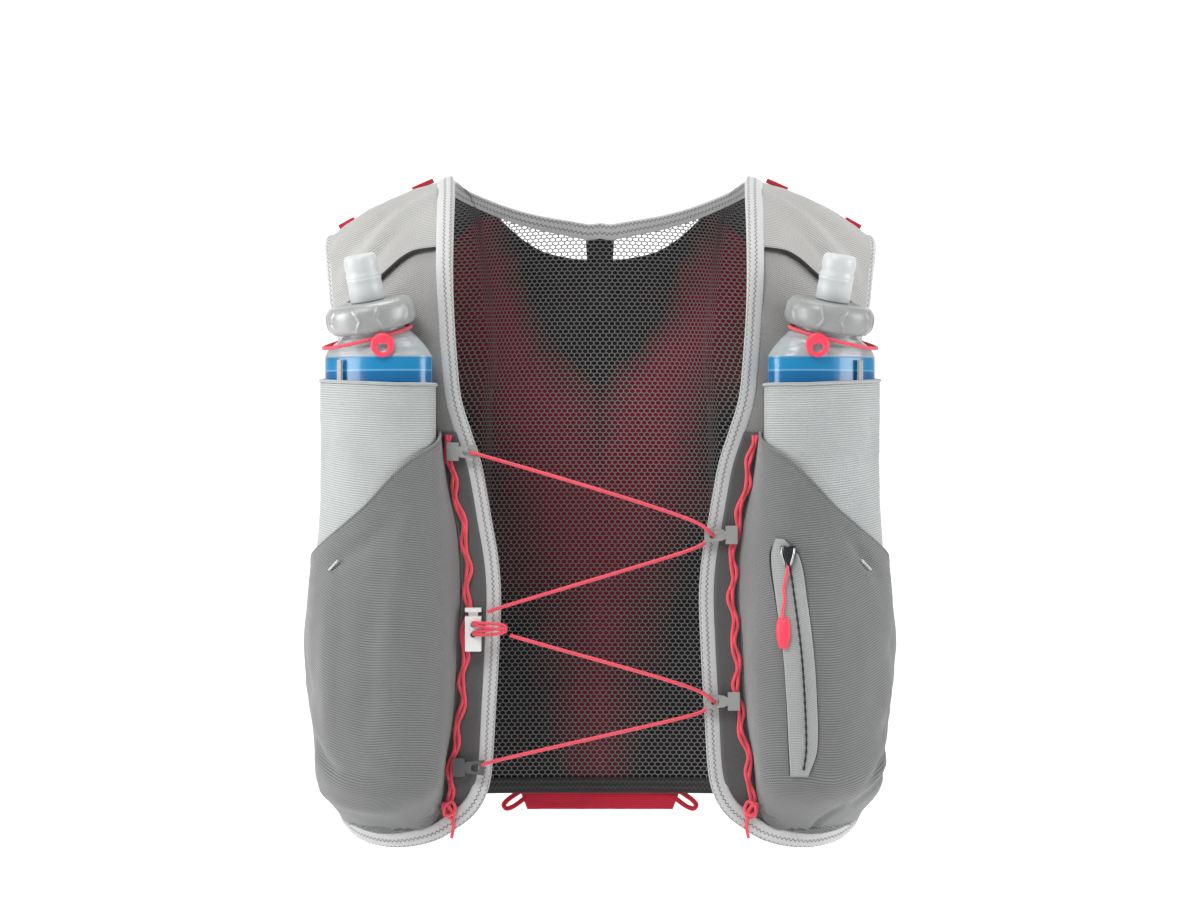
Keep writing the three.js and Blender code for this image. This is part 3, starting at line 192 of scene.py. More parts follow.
def crossing(line: Sequence[Vector], axis: int, at: float) -> float:
    """Value along a line where its other coordinate has a given value.

    Args:
        line: Points in the cloth's plane.
        axis: Coordinate that is given: 0 across or 1 climb.
        at: Its value.

    Returns:
        The other coordinate, or that of the nearest end.
    """
    for a, b in zip(line, line[1:]):
        if (a[axis] - at) * (b[axis] - at) <= 0 and a[axis] != b[axis]:
            return lerp(a[1 - axis], b[1 - axis], (at - a[axis]) / (b[axis] - a[axis]))
    return min(line, key=lambda p: abs(p[axis] - at))[1 - axis]


def moved(line: Sequence[Vector], width: float, hand: int) -> list[Vector]:
    """A line in the cloth's plane moved sideways.

    Args:
        line: The line.
        width: How far.
        hand: 1 or -1 for the side.

    Returns:
        The moved points.
    """
    out = []
    for i, p in enumerate(line):
        t = (line[min(i + 1, len(line) - 1)] - line[max(i - 1, 0)]).normalized()
        out.append(Vector((p.x - hand * t.y * width, p.y + hand * t.x * width, 0)))
    return out


@dataclass(frozen=True)
class BodyForm:
    """The rounded body that the cloth lies on, filled out as on a wearer."""

    vest_length: float = 412.0
    half_width: float = 175.5
    front_depth: float = 105.0
    back_depth: float = 110.0
    squareness: float = 3.0
    arch_drop: float = 120.0
    arch_length: float = 168.0
    neck_half: float = 92.0
    shoulder_half: float = 172.0
    arch_half: float = 1.022
    rows_half: Table = ((0.291, 0.932), (0.4, 0.937), (0.51, 0.95), (0.6, 0.968), (0.69, 1.0), (0.757, 0.994),
                        (0.825, 0.965), (0.92, 0.92), (1.0, 0.893))
    rows_depth: Table = ((0.291, 1.0), (0.69, 1.0), (0.757, 0.995), (0.825, 0.985), (0.92, 0.97), (1.0, 0.96))

    @cached_property
    def girth(self) -> list[float]:
        """Cloth length round the widest section to each degree of turn."""
        run = [0.0]
        before = Vector((0.0, self.front_depth))
        for degree in range(1, 91):
            turn = math.radians(degree)
            here = Vector((self.half_width * math.sin(turn) ** (2 / self.squareness),
                           self.front_depth * max(math.cos(turn), 0.0) ** (2 / self.squareness)))
            run.append(run[-1] + (here - before).length)
            before = here
        return run

    @property
    def side_seam(self) -> float:
        """Cloth length from the centre line to the side seam."""
        return self.girth[90]

    def width_at(self, climb: float) -> float:
        """Half width of the body at a climb above the arch line."""
        if climb <= 0:
            return self.half_width * smooth_value(self.rows_half, (self.arch_drop - climb) / self.vest_length)
        low = self.half_width * self.rows_half[0][1]
        return lerp(low, self.half_width * self.arch_half, clamp(climb / self.arch_length) ** 1.3)

    def top_drop(self, x: float) -> float:
        """Drop of the shoulder line at a reach from the centre."""
        out = abs(x) - self.neck_half
        return 0.4 * out + 0.0012 * max(out, 0.0) ** 2

    def point(self, face: int, across: float, climb: float) -> Vector:
        """Point of the body.

        Args:
            face: FRONT or BACK.
            across: Cloth length from the centre line, past the side seam onto the other face.
            climb: Cloth height above the arch line, past the shoulder onto the other face.

        Returns:
            The point in millimetres.
        """
        side = -1 if across < 0 else 1
        a = abs(across)
        if a > self.side_seam:
            a, face = 2 * self.side_seam - a, -face
        if climb > self.arch_length:
            climb, face = 2 * self.arch_length - climb, -face
        girth = self.girth
        degree = min(89, int(clamp(a / self.side_seam) * 90))
        while degree > 0 and girth[degree] > a:
            degree -= 1
        while degree < 89 and girth[degree + 1] < a:
            degree += 1
        turn = math.radians(degree + (a - girth[degree]) / (girth[degree + 1] - girth[degree]))
        power = 2 / self.squareness
        x = self.width_at(climb) * max(math.sin(turn), 0.0) ** power
        depth = (self.front_depth if face == FRONT else self.back_depth) * max(math.cos(turn), 0.0) ** power
        if climb <= 0:
            share = smooth_value(self.rows_depth, (self.arch_drop - climb) / self.vest_length)
            return Vector((side * x, -face * depth * share, climb - self.arch_drop))
        angle = math.pi / 2 * climb / self.arch_length
        z = -self.arch_drop + (self.arch_drop - self.top_drop(x)) * math.sin(angle)
        return Vector((side * x, -face * depth * math.cos(angle), z))

    def outward(self, point: Vector, normal: Vector) -> Vector:
        """The normal turned away from the middle of the body."""
        core = Vector((point.x * 0.5, 0.0, min(point.z, -self.arch_drop * 0.6)))
        return -normal if normal.dot(point - core) < 0 else normal

    def cloth(self, face: int, across: float, climb: float, lift: float = 0.0) -> Vector:
        """Point of the body lifted off it by a length."""
        p = self.point(face, across, climb)
        a = self.point(face, across + 1.5, climb) - self.point(face, across - 1.5, climb)
        b = self.point(face, across, climb + 1.5) - self.point(face, across, climb - 1.5)
        return p + self.outward(p, a.cross(b).normalized()) * lift

    def climb_at(self, reach: float, drop: float) -> float:
        """Climb of a point seen from the front at a reach and a drop below the shoulder top."""
        if drop >= self.arch_drop:
            return self.arch_drop - drop
        share = clamp((self.arch_drop - drop) / (self.arch_drop - self.top_drop(reach)))
        return math.asin(share) / (math.pi / 2) * self.arch_length

    def across_of(self, reach: float, climb: float) -> float:
        """Cloth length from the centre line to a reach at a climb."""
        turn = math.asin(clamp(reach / self.width_at(climb)) ** (self.squareness / 2))
        degree = clamp(math.degrees(turn), 0, 90)
        whole = min(int(degree), 89)
        return lerp(self.girth[whole], self.girth[whole + 1], degree - whole)


@dataclass(frozen=True)
class Cut:
    """Edges of the cloth pieces on the body."""

    form: BodyForm = BodyForm()
    gap: float = 0.35
    panel_wall: float = 1.2
    strap_wall: float = 1.4
    pocket_wall: float = 1.3
    outer_wall: float = 1.5
    binding_width: float = 10.5
    binding_wall: float = 2.6
    tape_wall: float = 0.9
    net_wall: float = 0.5
    net_seat: float = 1.0
    lining_wall: float = 0.6
    strap_puff: float = 2.0
    side_hem: float = 0.972
    neck_dip: float = 19.0
    window_reach: float = 66.0
    opening_rows: Table = ((0.19, 0.963), (0.296, 0.93), (0.34, 0.905), (0.383, 0.846), (0.427, 0.781),
                           (0.471, 0.741), (0.515, 0.707), (0.573, 0.663), (0.631, 0.647), (0.689, 0.655),
                           (0.748, 0.668), (0.808, 0.685), (0.867, 0.701), (0.9, 0.72), (0.927, 0.762),
                           (0.948, 0.826))
    hem_rows: Table = ((0.485, 0.966), (0.56, 0.986), (0.7, 1.0), (0.81, 0.995), (0.875, 0.982))
    arm_front: Table = ((1.0, 1.0), (0.8, 0.995), (0.45, 0.966), (0.15, 0.945), (-0.1, 0.94))
    arm_back: Table = ((0.0, 0.85), (0.35, 0.885), (0.7, 0.945), (0.9, 0.99), (1.0, 1.0))
    arm_bottom: float = 0.27
    flap_rows: Table = ((0.58, 0.405), (0.64, 0.415), (0.68, 0.45), (0.72, 0.505), (0.78, 0.585), (0.87, 0.665),
                        (0.95, 0.71))
    rail_rows: Table = ((0.386, 1.0), (0.461, 0.951), (0.515, 0.897), (0.558, 0.869), (0.636, 0.859), (0.692, 0.88),
                        (0.752, 0.891), (0.808, 0.913), (0.867, 0.962), (0.94, 0.985))
    pack_rows: Table = ((0.0, 0.408), (0.21, 0.358), (0.314, 0.275), (0.401, 0.175), (0.47, 0.19), (0.64, 0.4),
                        (0.87, 0.79))

    @cached_property
    def opening(self) -> list[Vector]:
        """Front opening edge and front hem in one line."""
        f = self.form
        pts = [(f.across_of(f.neck_half, f.arch_length), f.arch_length)]
        for share in (0.85, 0.7):
            reach = f.neck_half * lerp(1, self.opening_rows[0][1], (1 - share) * 2)
            pts.append((f.across_of(reach, f.arch_length * share), f.arch_length * share))
        for drop, share in self.opening_rows:
            reach = share * f.neck_half
            climb = f.climb_at(reach, drop * f.vest_length)
            pts.append((f.across_of(reach, climb), climb))
        for share, drop in self.hem_rows:
            climb = f.arch_drop - drop * f.vest_length
            pts.append((f.across_of(share * f.half_width, climb), climb))
        pts.append((f.side_seam, self.hem_climb))
        return smooth_line([Vector((a, c, 0)) for a, c in pts], 150)

    @property
    def hem_climb(self) -> float:
        """Climb of the hem at the side seam and round the back."""
        return self.form.arch_drop - self.side_hem * self.form.vest_length

    @cached_property
    def inside(self) -> tuple[list[Vector], list[Vector]]:
        """Inner edge of the opening's binding, as its upright part and its hem part."""
        line = moved(self.opening, self.binding_width + self.gap, 1)
        low = self.form.arch_drop - self.opening_rows[-1][0] * self.form.vest_length + self.binding_width
        corner = next(i for i, p in enumerate(line) if p.y < low)
        return line[:corner + 1], line[corner:]

    @cached_property
    def armhole(self) -> list[Vector]:
        """Armhole edge from the shoulder top down the front, round the side and up the back."""
        f = self.form
        pts = []
        for climb_share, share in self.arm_front:
            climb = climb_share * f.arch_length
            pts.append((f.across_of(share * f.shoulder_half, climb), climb))
        pts.append((f.side_seam, -self.arm_bottom * f.arch_length))
        for climb_share, share in self.arm_back:
            climb = climb_share * f.arch_length
            pts.append((2 * f.side_seam - f.across_of(share * f.shoulder_half, climb), climb))
        return smooth_line([Vector((a, c, 0)) for a, c in pts], 130)

    @cached_property
    def arm_inside(self) -> tuple[list[Vector], list[Vector]]:
        """Inner edge of the armhole's binding, front part and back part."""
        line = moved(self.armhole, self.binding_width + self.gap, -1)
        low = min(range(len(line)), key=lambda i: line[i].y)
        return line[:low + 1], line[low:]

    @cached_property
    def neck(self) -> list[Vector]:
        """Back neck edge from shoulder to shoulder."""
        f = self.form
        half = []
        for share in (1, 0.94, 0.84, 0.68, 0.5, 0.25, 0):
            reach = share * f.neck_half
            climb = f.arch_length if share == 1 else f.climb_at(reach, self.neck_dip * (1 - share ** 2))
            half.append((f.across_of(reach, climb), climb))
        pts = half + [(-a, c) for a, c in reversed(half[:-1])]
        return smooth_line([Vector((a, c, 0)) for a, c in pts], 120)

    @cached_property
    def neck_inside(self) -> list[Vector]:
        """Lower edge of the neck binding."""
        return moved(self.neck, self.binding_width + self.gap, 1)

    def inner_edge(self, climb: float) -> float:
        """Where the front cloth starts beside the opening's binding."""
        return crossing(self.inside[0], 1, climb)

    def hem_edge(self, across: float) -> float:
        """Where the front cloth ends above the hem's binding."""
        return crossing(self.inside[1], 0, across)

    def outer_edge(self, climb: float) -> float:
        """Where the front cloth ends at the side seam or the armhole's binding."""
        front = self.arm_inside[0]
        if climb < front[-1].y:
            return self.form.side_seam
        return min(crossing(front, 1, climb), self.form.side_seam)

    def arm_back_edge(self, climb: float) -> float:
        """Where the back cloth ends beside the armhole's binding."""
        return 2 * self.form.side_seam - crossing(self.arm_inside[1], 1, climb)

    def strap_inner(self, climb: float) -> float:
        """Inner edge of the shoulder strap, past the shoulder top onto the back."""
        f = self.form
        if climb <= f.arch_length:
            return self.inner_edge(climb)
        half = self.neck_inside[:len(self.neck_inside) // 2]
        back = 2 * f.arch_length - climb
        return max(crossing(half, 1, back), f.across_of(self.window_reach, back))

    def strap_outer(self, climb: float) -> float:
        """Outer edge of the shoulder strap."""
        if climb <= self.form.arch_length:
            return self.outer_edge(climb)
        return self.arm_back_edge(2 * self.form.arch_length - climb)

    @property
    def net_seam(self) -> float:
        """Cloth length from the centre line of the back to the seam between its net and the side nets."""
        return self.form.across_of(0.9 * self.form.half_width * 0.937, -60)

    def pack_top(self, reach: float) -> float:
        """Drop of the pack's top edge at a reach."""
        return self.form.arch_drop * smooth_value(self.pack_rows, abs(reach) / self.form.shoulder_half)

    @lru_cache(maxsize=None)
    def strap_end(self, col: float) -> float:
        """Climb past the shoulder top where the strap meets the pack."""
        f = self.form
        climb = 1.5 * f.arch_length
        for _ in range(8):
            across = lerp(self.strap_inner(climb), self.strap_outer(climb), col)
            reach = f.point(FRONT, across, climb).x
            climb = 2 * f.arch_length - f.climb_at(reach, self.pack_top(reach)) - 1.0
        return climb

    def rail_across(self, drop: float) -> float:
        """Cloth length from the centre line to the middle of the rail."""
        reach = self.form.neck_half * smooth_value(self.rail_rows, drop / self.form.vest_length)
        return self.form.across_of(reach, self.form.arch_drop - drop)


@dataclass(frozen=True)
class FlaskForm:
    """Shape and place of the left soft flask; the right one is its mirror."""

    cut: Cut = Cut()
    half_width: float = 35.5
    half_depth: float = 21.0
    seat: float = 122.5
    bottom: float = 358.0
    shoulder: float = 114.0
    neck: float = 99.0
    neck_radius: float = 18.6
    neck_height: float = 14.0
    lean_out: float = 10.0
    lean_forward: float = 8.0

    @lru_cache(maxsize=None)
    def frame(self, drop: float) -> tuple[Vector, Vector, Vector]:
        """Middle of the flask at a drop, with the directions along and off the cloth."""
        f = self.cut.form
        climb = min(f.arch_drop - drop, 0)
        across = f.across_of(self.seat, climb)
        base = f.cloth(FRONT, across, climb)
        n = f.cloth(FRONT, across, climb, 1) - base
        n = Vector((n.x, n.y, 0)).normalized()
        centre = base + n * (self.cut.panel_wall + 0.9 + self.half_depth)
        return Vector((centre.x, centre.y, -drop)), Vector((-n.y, n.x, 0)), n

    @cached_property
    def neck_frame(self) -> Matrix:
        """Frame of the neck, with its axis along Z, in millimetres."""
        axis = Vector((math.tan(math.radians(self.lean_out)), -math.tan(math.radians(self.lean_forward)), 1))
        axis.normalize()
        u = (Vector((1, 0, 0)) - axis * axis.x).normalized()
        v = axis.cross(u)
        base = self.frame(self.shoulder)[0] + axis * ((self.shoulder - self.neck) / axis.z)
        rows = [[u[i], v[i], axis[i], base[i]] for i in range(3)]
        return Matrix((*rows, (0, 0, 0, 1)))

    @property
    def neck_axes(self) -> tuple[Vector, Vector, Vector]:
        """Directions of the neck: along its axis, then across it along and off the cloth."""
        matrix = self.neck_frame
        axis, along, off = (Vector([matrix[i][k] for i in range(3)]) for k in (2, 0, 1))
        return axis, along, off


@dataclass(frozen=True)
class PocketForm:
    """The two stretch pockets over a flask: girth share and drop give a point of the inner one."""

    flask: FlaskForm = FlaskForm()
    seat: float = 2.05
    outer_seat: float = 2.65
    mouth: float = 131.0
    mouth_rise: float = 4.0
    slope_rows: Table = ((0.0, 0.388), (0.12, 0.396), (0.22, 0.437), (0.34, 0.503), (0.53, 0.566), (0.75, 0.607),
                         (0.9, 0.68), (1.0, 0.71))

    def start(self, drop: float) -> float:
        """Cloth length where the pockets start beside the rail."""
        cut = self.flask.cut
        beside_rail = cut.rail_across(drop) + 4.4 + self.outer_seat + cut.outer_wall
        return max(beside_rail, cut.inner_edge(cut.form.arch_drop - drop) + 1.6)

    def end(self, climb: float) -> float:
        """Cloth length where they end: at the side seam, or behind the flask at the armhole."""
        cut = self.flask.cut
        low = cut.arm_inside[0][-1].y
        seam = cut.form.side_seam
        return min(seam, seam if climb < low else cut.outer_edge(climb) + 6.3) - cut.gap

    @lru_cache(maxsize=None)
    def section(self, drop: float) -> tuple[Vector, ...]:
        """Section of the inner pocket round the flask, in 160 even steps."""
        cut = self.flask.cut
        f = cut.form
        climb = f.arch_drop - drop
        centre, t, n = self.flask.frame(drop)
        wide, deep = self.flask.half_width + 1.8, self.flask.half_depth + 1.8
        loose = 7 * clamp((drop - 200) / 60) * clamp((370 - drop) / 60)
        around = [centre + t * ((wide + loose * clamp(d / 84)) * math.sin(math.radians(d)))
                  + n * (deep * math.cos(math.radians(d))) for d in (-84, -55, -25, 5, 35, 62, 84)]
        start = f.cloth(FRONT, self.start(drop), climb, self.seat)
        end = f.cloth(FRONT, self.end(climb), climb, self.seat + cut.gap)
        low = cut.arm_inside[0][-1].y
        middle = around[-1].lerp(end, 0.5).lerp(f.cloth(FRONT, f.side_seam * 0.82, climb,
                                                        self.seat + 1 + 5 * clamp((370 - drop) / 80)),
                                                clamp((low - climb) / 40))
        return tuple(smooth_line([start, *around, middle, end], 160))

    def point(self, around: float, drop: float) -> Vector:
        """Point of the inner pocket at a share of its girth and a drop."""
        cut = self.flask.cut
        f = cut.form
        length = f.vest_length
        fade = clamp((length - 14 - drop) / (length - 14 - self.flask.bottom - 5))
        full = max(math.sin(math.pi / 2 * fade), 0.0) ** 1.2
        climb = f.arch_drop - drop
        flat = f.cloth(FRONT, lerp(self.start(drop), self.end(climb), around), climb, self.seat)
        line = self.section(round(drop, 2))
        place = clamp(around) * 160
        k = min(int(place), 159)
        return flat.lerp(line[k].lerp(line[k + 1], place - k), full)

    def lifted(self, around: float, drop: float, lift: float) -> Vector:
        """The same point lifted off the pocket."""
        u = clamp(around, 0.006, 0.994)
        a = self.point(u + 0.005, drop) - self.point(u - 0.005, drop)
        b = self.point(u, drop - 1) - self.point(u, drop + 1)
        return self.point(around, drop) + a.cross(b).normalized() * lift

    def around_at(self, reach: float, drop: float, high: float = 0.55) -> float:
        """Share of the girth whose point lies at a reach from the centre."""
        low = 0.08
        for _ in range(18):
            middle = (low + high) / 2
            if self.point(middle, drop).x < reach:
                low = middle
            else:
                high = middle
        return low

    def slope_drop(self, around: float) -> float:
        """Drop of the outer pocket's upper edge."""
        return self.flask.cut.form.vest_length * smooth_value(self.slope_rows, around)

    def hem_drop(self, around: float) -> float:
        """Drop of the pockets' lower edge."""
        cut = self.flask.cut
        f = cut.form
        across = lerp(f.across_of(f.neck_half, f.arch_drop - f.vest_length), f.side_seam - cut.gap, around)
        return f.arch_drop - cut.hem_edge(across) + 2.0


# ---------------------------------------------------------------- materials


class NodeBench:
    """Short way to wire one material or one shader group."""

    def __init__(self, tree: bpy.types.NodeTree) -> None:
        """Keeps the tree that the nodes go into."""
        self.tree = tree

    def add(self, kind: str, **values: object) -> bpy.types.Node:
        """Adds a node and sets its properties."""
        node = self.tree.nodes.new(kind)
        for key, value in values.items():
            setattr(node, key, value)
        return node

    def link(self, source: bpy.types.NodeSocket, target: bpy.types.NodeSocket) -> None:
        """Joins two sockets."""
        self.tree.links.new(source, target)

    def math(self, operation: str, *terms: object) -> bpy.types.NodeSocket:
        """Math node fed with sockets and numbers.

        Args:
            operation: Name of the math operation.
            terms: Sockets or numbers.

        Returns:
            The result's socket.
        """
        node = self.add("ShaderNodeMath", operation=operation)
        for i, term in enumerate(terms):
            if isinstance(term, (int, float)):
                node.inputs[i].default_value = term
            else:
                self.link(term, node.inputs[i])
        return node.outputs[0]

    def mix(self, share: object, low: object, high: object) -> bpy.types.NodeSocket:
        """Colour blend by a mask; colours are sockets or triples."""
        node = self.add("ShaderNodeMix", data_type="RGBA")
        for socket, term in zip((node.inputs[0], node.inputs[6], node.inputs[7]), (share, low, high)):
            if isinstance(term, (int, float)):
                socket.default_value = term
            elif isinstance(term, tuple):
                socket.default_value = (*term[:3], 1.0)
            else:
                self.link(term, socket)
        return node.outputs[2]

    def noise(self, vector: bpy.types.NodeSocket, scale: float, detail: float = 3.0) -> bpy.types.NodeSocket:
        """Noise value of a vector."""
        node = self.add("ShaderNodeTexNoise")
        node.inputs["Scale"].default_value = scale
        node.inputs["Detail"].default_value = detail
        self.link(vector, node.inputs["Vector"])
        return node.outputs["Fac"]

    def relief(self, shader: bpy.types.Node, height: bpy.types.NodeSocket, strength: float, depth: float) -> None:
        """Bump of a shader from a height in shares of a depth in metres."""
        node = self.add("ShaderNodeBump")
        node.inputs["Strength"].default_value = strength
        node.inputs["Distance"].default_value = depth
        self.link(height, node.inputs["Height"])
        self.link(node.outputs[0], shader.inputs["Normal"])

    def step_down(self, value: bpy.types.NodeSocket, edge: object, soft: object) -> bpy.types.NodeSocket:
        """Soft mask that is 1 below an edge."""
        rest = self.math("DIVIDE", self.math("SUBTRACT", edge, value), soft)
        return self.math("MINIMUM", self.math("MAXIMUM", self.math("ADD", rest, 0.5), 0.0), 1.0)


def open_group(name: str, inputs: Sequence[tuple[str, str, float]], outputs: Sequence[str]) -> tuple[
        bpy.types.NodeTree, NodeBench, bpy.types.Node, bpy.types.Node]:
    """Starts a shader group.

    Args:
        name: Its name.
        inputs: Names, socket types and defaults of its inputs.
        outputs: Names of its value outputs.

    Returns:
        The tree, its bench, its input node and its output node.
    """
    tree = bpy.data.node_groups.new(name, "ShaderNodeTree")
    for label, kind, default in inputs:
        socket = tree.interface.new_socket(name=label, in_out="INPUT", socket_type=kind)
        if kind == "NodeSocketFloat":
            socket.default_value = default
    for label in outputs:
        tree.interface.new_socket(name=label, in_out="OUTPUT", socket_type="NodeSocketFloat")
    bench = NodeBench(tree)
    return tree, bench, bench.add("NodeGroupInput"), bench.add("NodeGroupOutput")


class Weave(Enum):
    """Surface patterns that the cloth finishes choose from."""

    RIB = "rib"
    TWILL = "twill"
    ZIGZAG = "zigzag"
    NET = "net"
    BRAID = "braid"
    WEBBING = "webbing"
    PLAIN = "plain"


class PatternShop:
    """Builds each shared shader group once. Every group gives Mask and Height from the piece's UV in metres."""

    def __init__(self) -> None:
        """Starts with no groups."""
        self.groups: dict[Weave, bpy.types.NodeTree] = {}

    def group(self, weave: Weave) -> bpy.types.NodeTree:
        """The group of a weave, built at its first use."""
        if weave not in self.groups:
            tree, bench, start, end = open_group(
                f"pattern_{weave.value}",
                [("Vector", "NodeSocketVector", 0.0), ("Pitch", "NodeSocketFloat", 0.002)], ("Mask", "Height"))
            split = bench.add("ShaderNodeSeparateXYZ")
            bench.link(start.outputs["Vector"], split.inputs[0])
            x = bench.math("DIVIDE", split.outputs[0], start.outputs["Pitch"])
            y = bench.math("DIVIDE", split.outputs[1], start.outputs["Pitch"])
            mask, height = getattr(self, f"_{weave.value}")(bench, x, y)
            bench.link(mask, end.inputs["Mask"])
            bench.link(height, end.inputs["Height"])
            self.groups[weave] = tree
        return self.groups[weave]

    @staticmethod
    def _wave(bench: NodeBench, value: bpy.types.NodeSocket) -> bpy.types.NodeSocket:
        """Sine of a value in turns, from 0 to 1."""
        turn = bench.math("SINE", bench.math("MULTIPLY", value, 2 * math.pi))
        return bench.math("MULTIPLY_ADD", turn, 0.5, 0.5)

    def _rib(self, bench: NodeBench, x: object, y: object) -> tuple[object, object]:
        """Horizontal ribs broken into stitches."""
        rib = self._wave(bench, y)
        loop = self._wave(bench, bench.math("MULTIPLY", x, 1.4))
        high = bench.math("MULTIPLY_ADD", loop, 0.25, bench.math("MULTIPLY", rib, 0.75))
        return high, high

    def _twill(self, bench: NodeBench, x: object, y: object) -> tuple[object, object]:
        """Fine diagonal lines with cross threads."""
        line = self._wave(bench, bench.math("ADD", x, y))
        thread = self._wave(bench, bench.math("MULTIPLY", bench.math("SUBTRACT", x, y), 0.8))
        high = bench.math("MULTIPLY_ADD", thread, 0.35, bench.math("MULTIPLY", line, 0.65))
        return high, high

    def _webbing(self, bench: NodeBench, x: object, y: object) -> tuple[object, object]:
        """Plain woven webbing."""
        high = bench.math("MULTIPLY", self._wave(bench, x), self._wave(bench, y))
        return high, high

    def _plain(self, bench: NodeBench, x: object, y: object) -> tuple[object, object]:
        """Faint even grain."""
        high = bench.math("MULTIPLY", self._wave(bench, x), self._wave(bench, bench.math("MULTIPLY", y, 0.7)))
        return high, high

    def _net(self, bench: NodeBench, x: object, y: object) -> tuple[object, object]:
        """Open net of squat hexagons."""
        tall = math.sqrt(3)
        high = bench.math("MULTIPLY", y, 1.33 / tall)
        ways = []
        for shift in (0.0, 0.5):
            a = bench.math("SUBTRACT", bench.math("FRACT", bench.math("SUBTRACT", x, shift)), 0.5)
            b = bench.math("SUBTRACT", bench.math("FRACT", bench.math("SUBTRACT", high, shift)), 0.5)
            a = bench.math("ABSOLUTE", a)
            b = bench.math("MULTIPLY", bench.math("ABSOLUTE", b), tall)
            slant = bench.math("MULTIPLY_ADD", b, tall / 2, bench.math("MULTIPLY", a, 0.5))
            ways.append(bench.math("MAXIMUM", a, slant))
        away = bench.math("SUBTRACT", 0.5, bench.math("MINIMUM", *ways))
        mask = bench.step_down(away, 0.095, 0.06)
        return mask, mask

    def _braid(self, bench: NodeBench, x: object, y: object) -> tuple[object, object]:
        """Braided sheath: x runs along the cord and y round it."""
        one = self._wave(bench, bench.math("ADD", x, y))
        two = self._wave(bench, bench.math("SUBTRACT", x, y))
        high = bench.math("MAXIMUM", one, two)
        return high, high

    def _zigzag(self, bench: NodeBench, x: object, y: object) -> tuple[object, object]:
        """Two rows of zigzag stitches on each face of a tape; x along it, y across its face in the same pitch. On the
        pale tape the mask is painted dark, as the shade of the stitch holes.
        """
        swing = bench.math("PINGPONG", x, 0.5)
        masks = []
        for middle in (1.05, 2.55, 4.9, 6.2):
            off = bench.math("SUBTRACT", bench.math("SUBTRACT", y, middle), bench.math("MULTIPLY", swing, 1.1))
            masks.append(bench.step_down(bench.math("ABSOLUTE", off), 0.11, 0.08))
        mask = bench.math("MAXIMUM", bench.math("MAXIMUM", *masks[:2]), bench.math("MAXIMUM", *masks[2:]))
        return mask, bench.math("MULTIPLY", mask, -1.0)


@dataclass(frozen=True)
class Finish:
    """Base of every finish: the material's name and its slot name."""

    name: str
    slot: str

    def material(self, shop: PatternShop) -> bpy.types.Material:
        """Builds the material.

        Args:
            shop: Where the shared pattern groups come from.

        Returns:
            The material.
        """
        mat = bpy.data.materials.new(self.name)
        mat.use_nodes = True
        bench = NodeBench(mat.node_tree)
        self.paint(bench, mat.node_tree.nodes["Principled BSDF"], bench.add("ShaderNodeTexCoord"), shop)
        return mat

    def paint(self, bench: NodeBench, shader: bpy.types.Node, place: bpy.types.Node, shop: PatternShop) -> None:
        """Wires the finish's own nodes.

        Args:
            bench: Bench of the material's tree.
            shader: The Principled shader.
            place: The texture coordinates.
            shop: Where the shared pattern groups come from.
        """
        raise NotImplementedError


@dataclass(frozen=True)
class ClothFinish(Finish):
    """A cloth: two thread tones, a weave, its pitch in metres and how strongly it shows."""

    low: tuple[float, float, float]
    high: tuple[float, float, float]
    weave: Weave
    pitch: float
    depth: float
    roughness: float = 0.85
    sheen: float = 0.25
    mottle: float = 0.12
    open_net: bool = False
    deep: float = 0.00035

    def paint(self, bench: NodeBench, shader: bpy.types.Node, place: bpy.types.Node, shop: PatternShop) -> None:
        """Thread tones by the weave, clouded, with the weave as relief."""
        pattern = bench.add("ShaderNodeGroup", node_tree=shop.group(self.weave))
        pattern.inputs["Pitch"].default_value = self.pitch
        bench.link(place.outputs["UV"], pattern.inputs["Vector"])
        cloud = bench.noise(place.outputs["Object"], 28.0, 4.0)
        grain = bench.noise(place.outputs["Object"], 900.0, 2.0)
        tone = bench.mix(pattern.outputs["Mask"], self.low, self.high)
        shade = bench.math("MULTIPLY_ADD", bench.math("SUBTRACT", cloud, 0.5), self.mottle * 2,
                           bench.math("MULTIPLY_ADD", bench.math("SUBTRACT", grain, 0.5), 0.25, 1.0))
        scaled = bench.add("ShaderNodeVectorMath", operation="SCALE")
        bench.link(tone, scaled.inputs[0])
        bench.link(shade, scaled.inputs["Scale"])
        bench.link(scaled.outputs[0], shader.inputs["Base Color"])
        rough = bench.math("MULTIPLY_ADD", grain, 0.12, self.roughness - 0.06)
        bench.link(rough, shader.inputs["Roughness"])
        high = bench.math("MULTIPLY_ADD", grain, 0.3, pattern.outputs["Height"])
        bench.relief(shader, high, self.depth, self.deep)
        shader.inputs["Sheen Weight"].default_value = self.sheen
        shader.inputs["Specular IOR Level"].default_value = 0.25
        if self.open_net:
            bench.link(pattern.outputs["Mask"], shader.inputs["Alpha"])


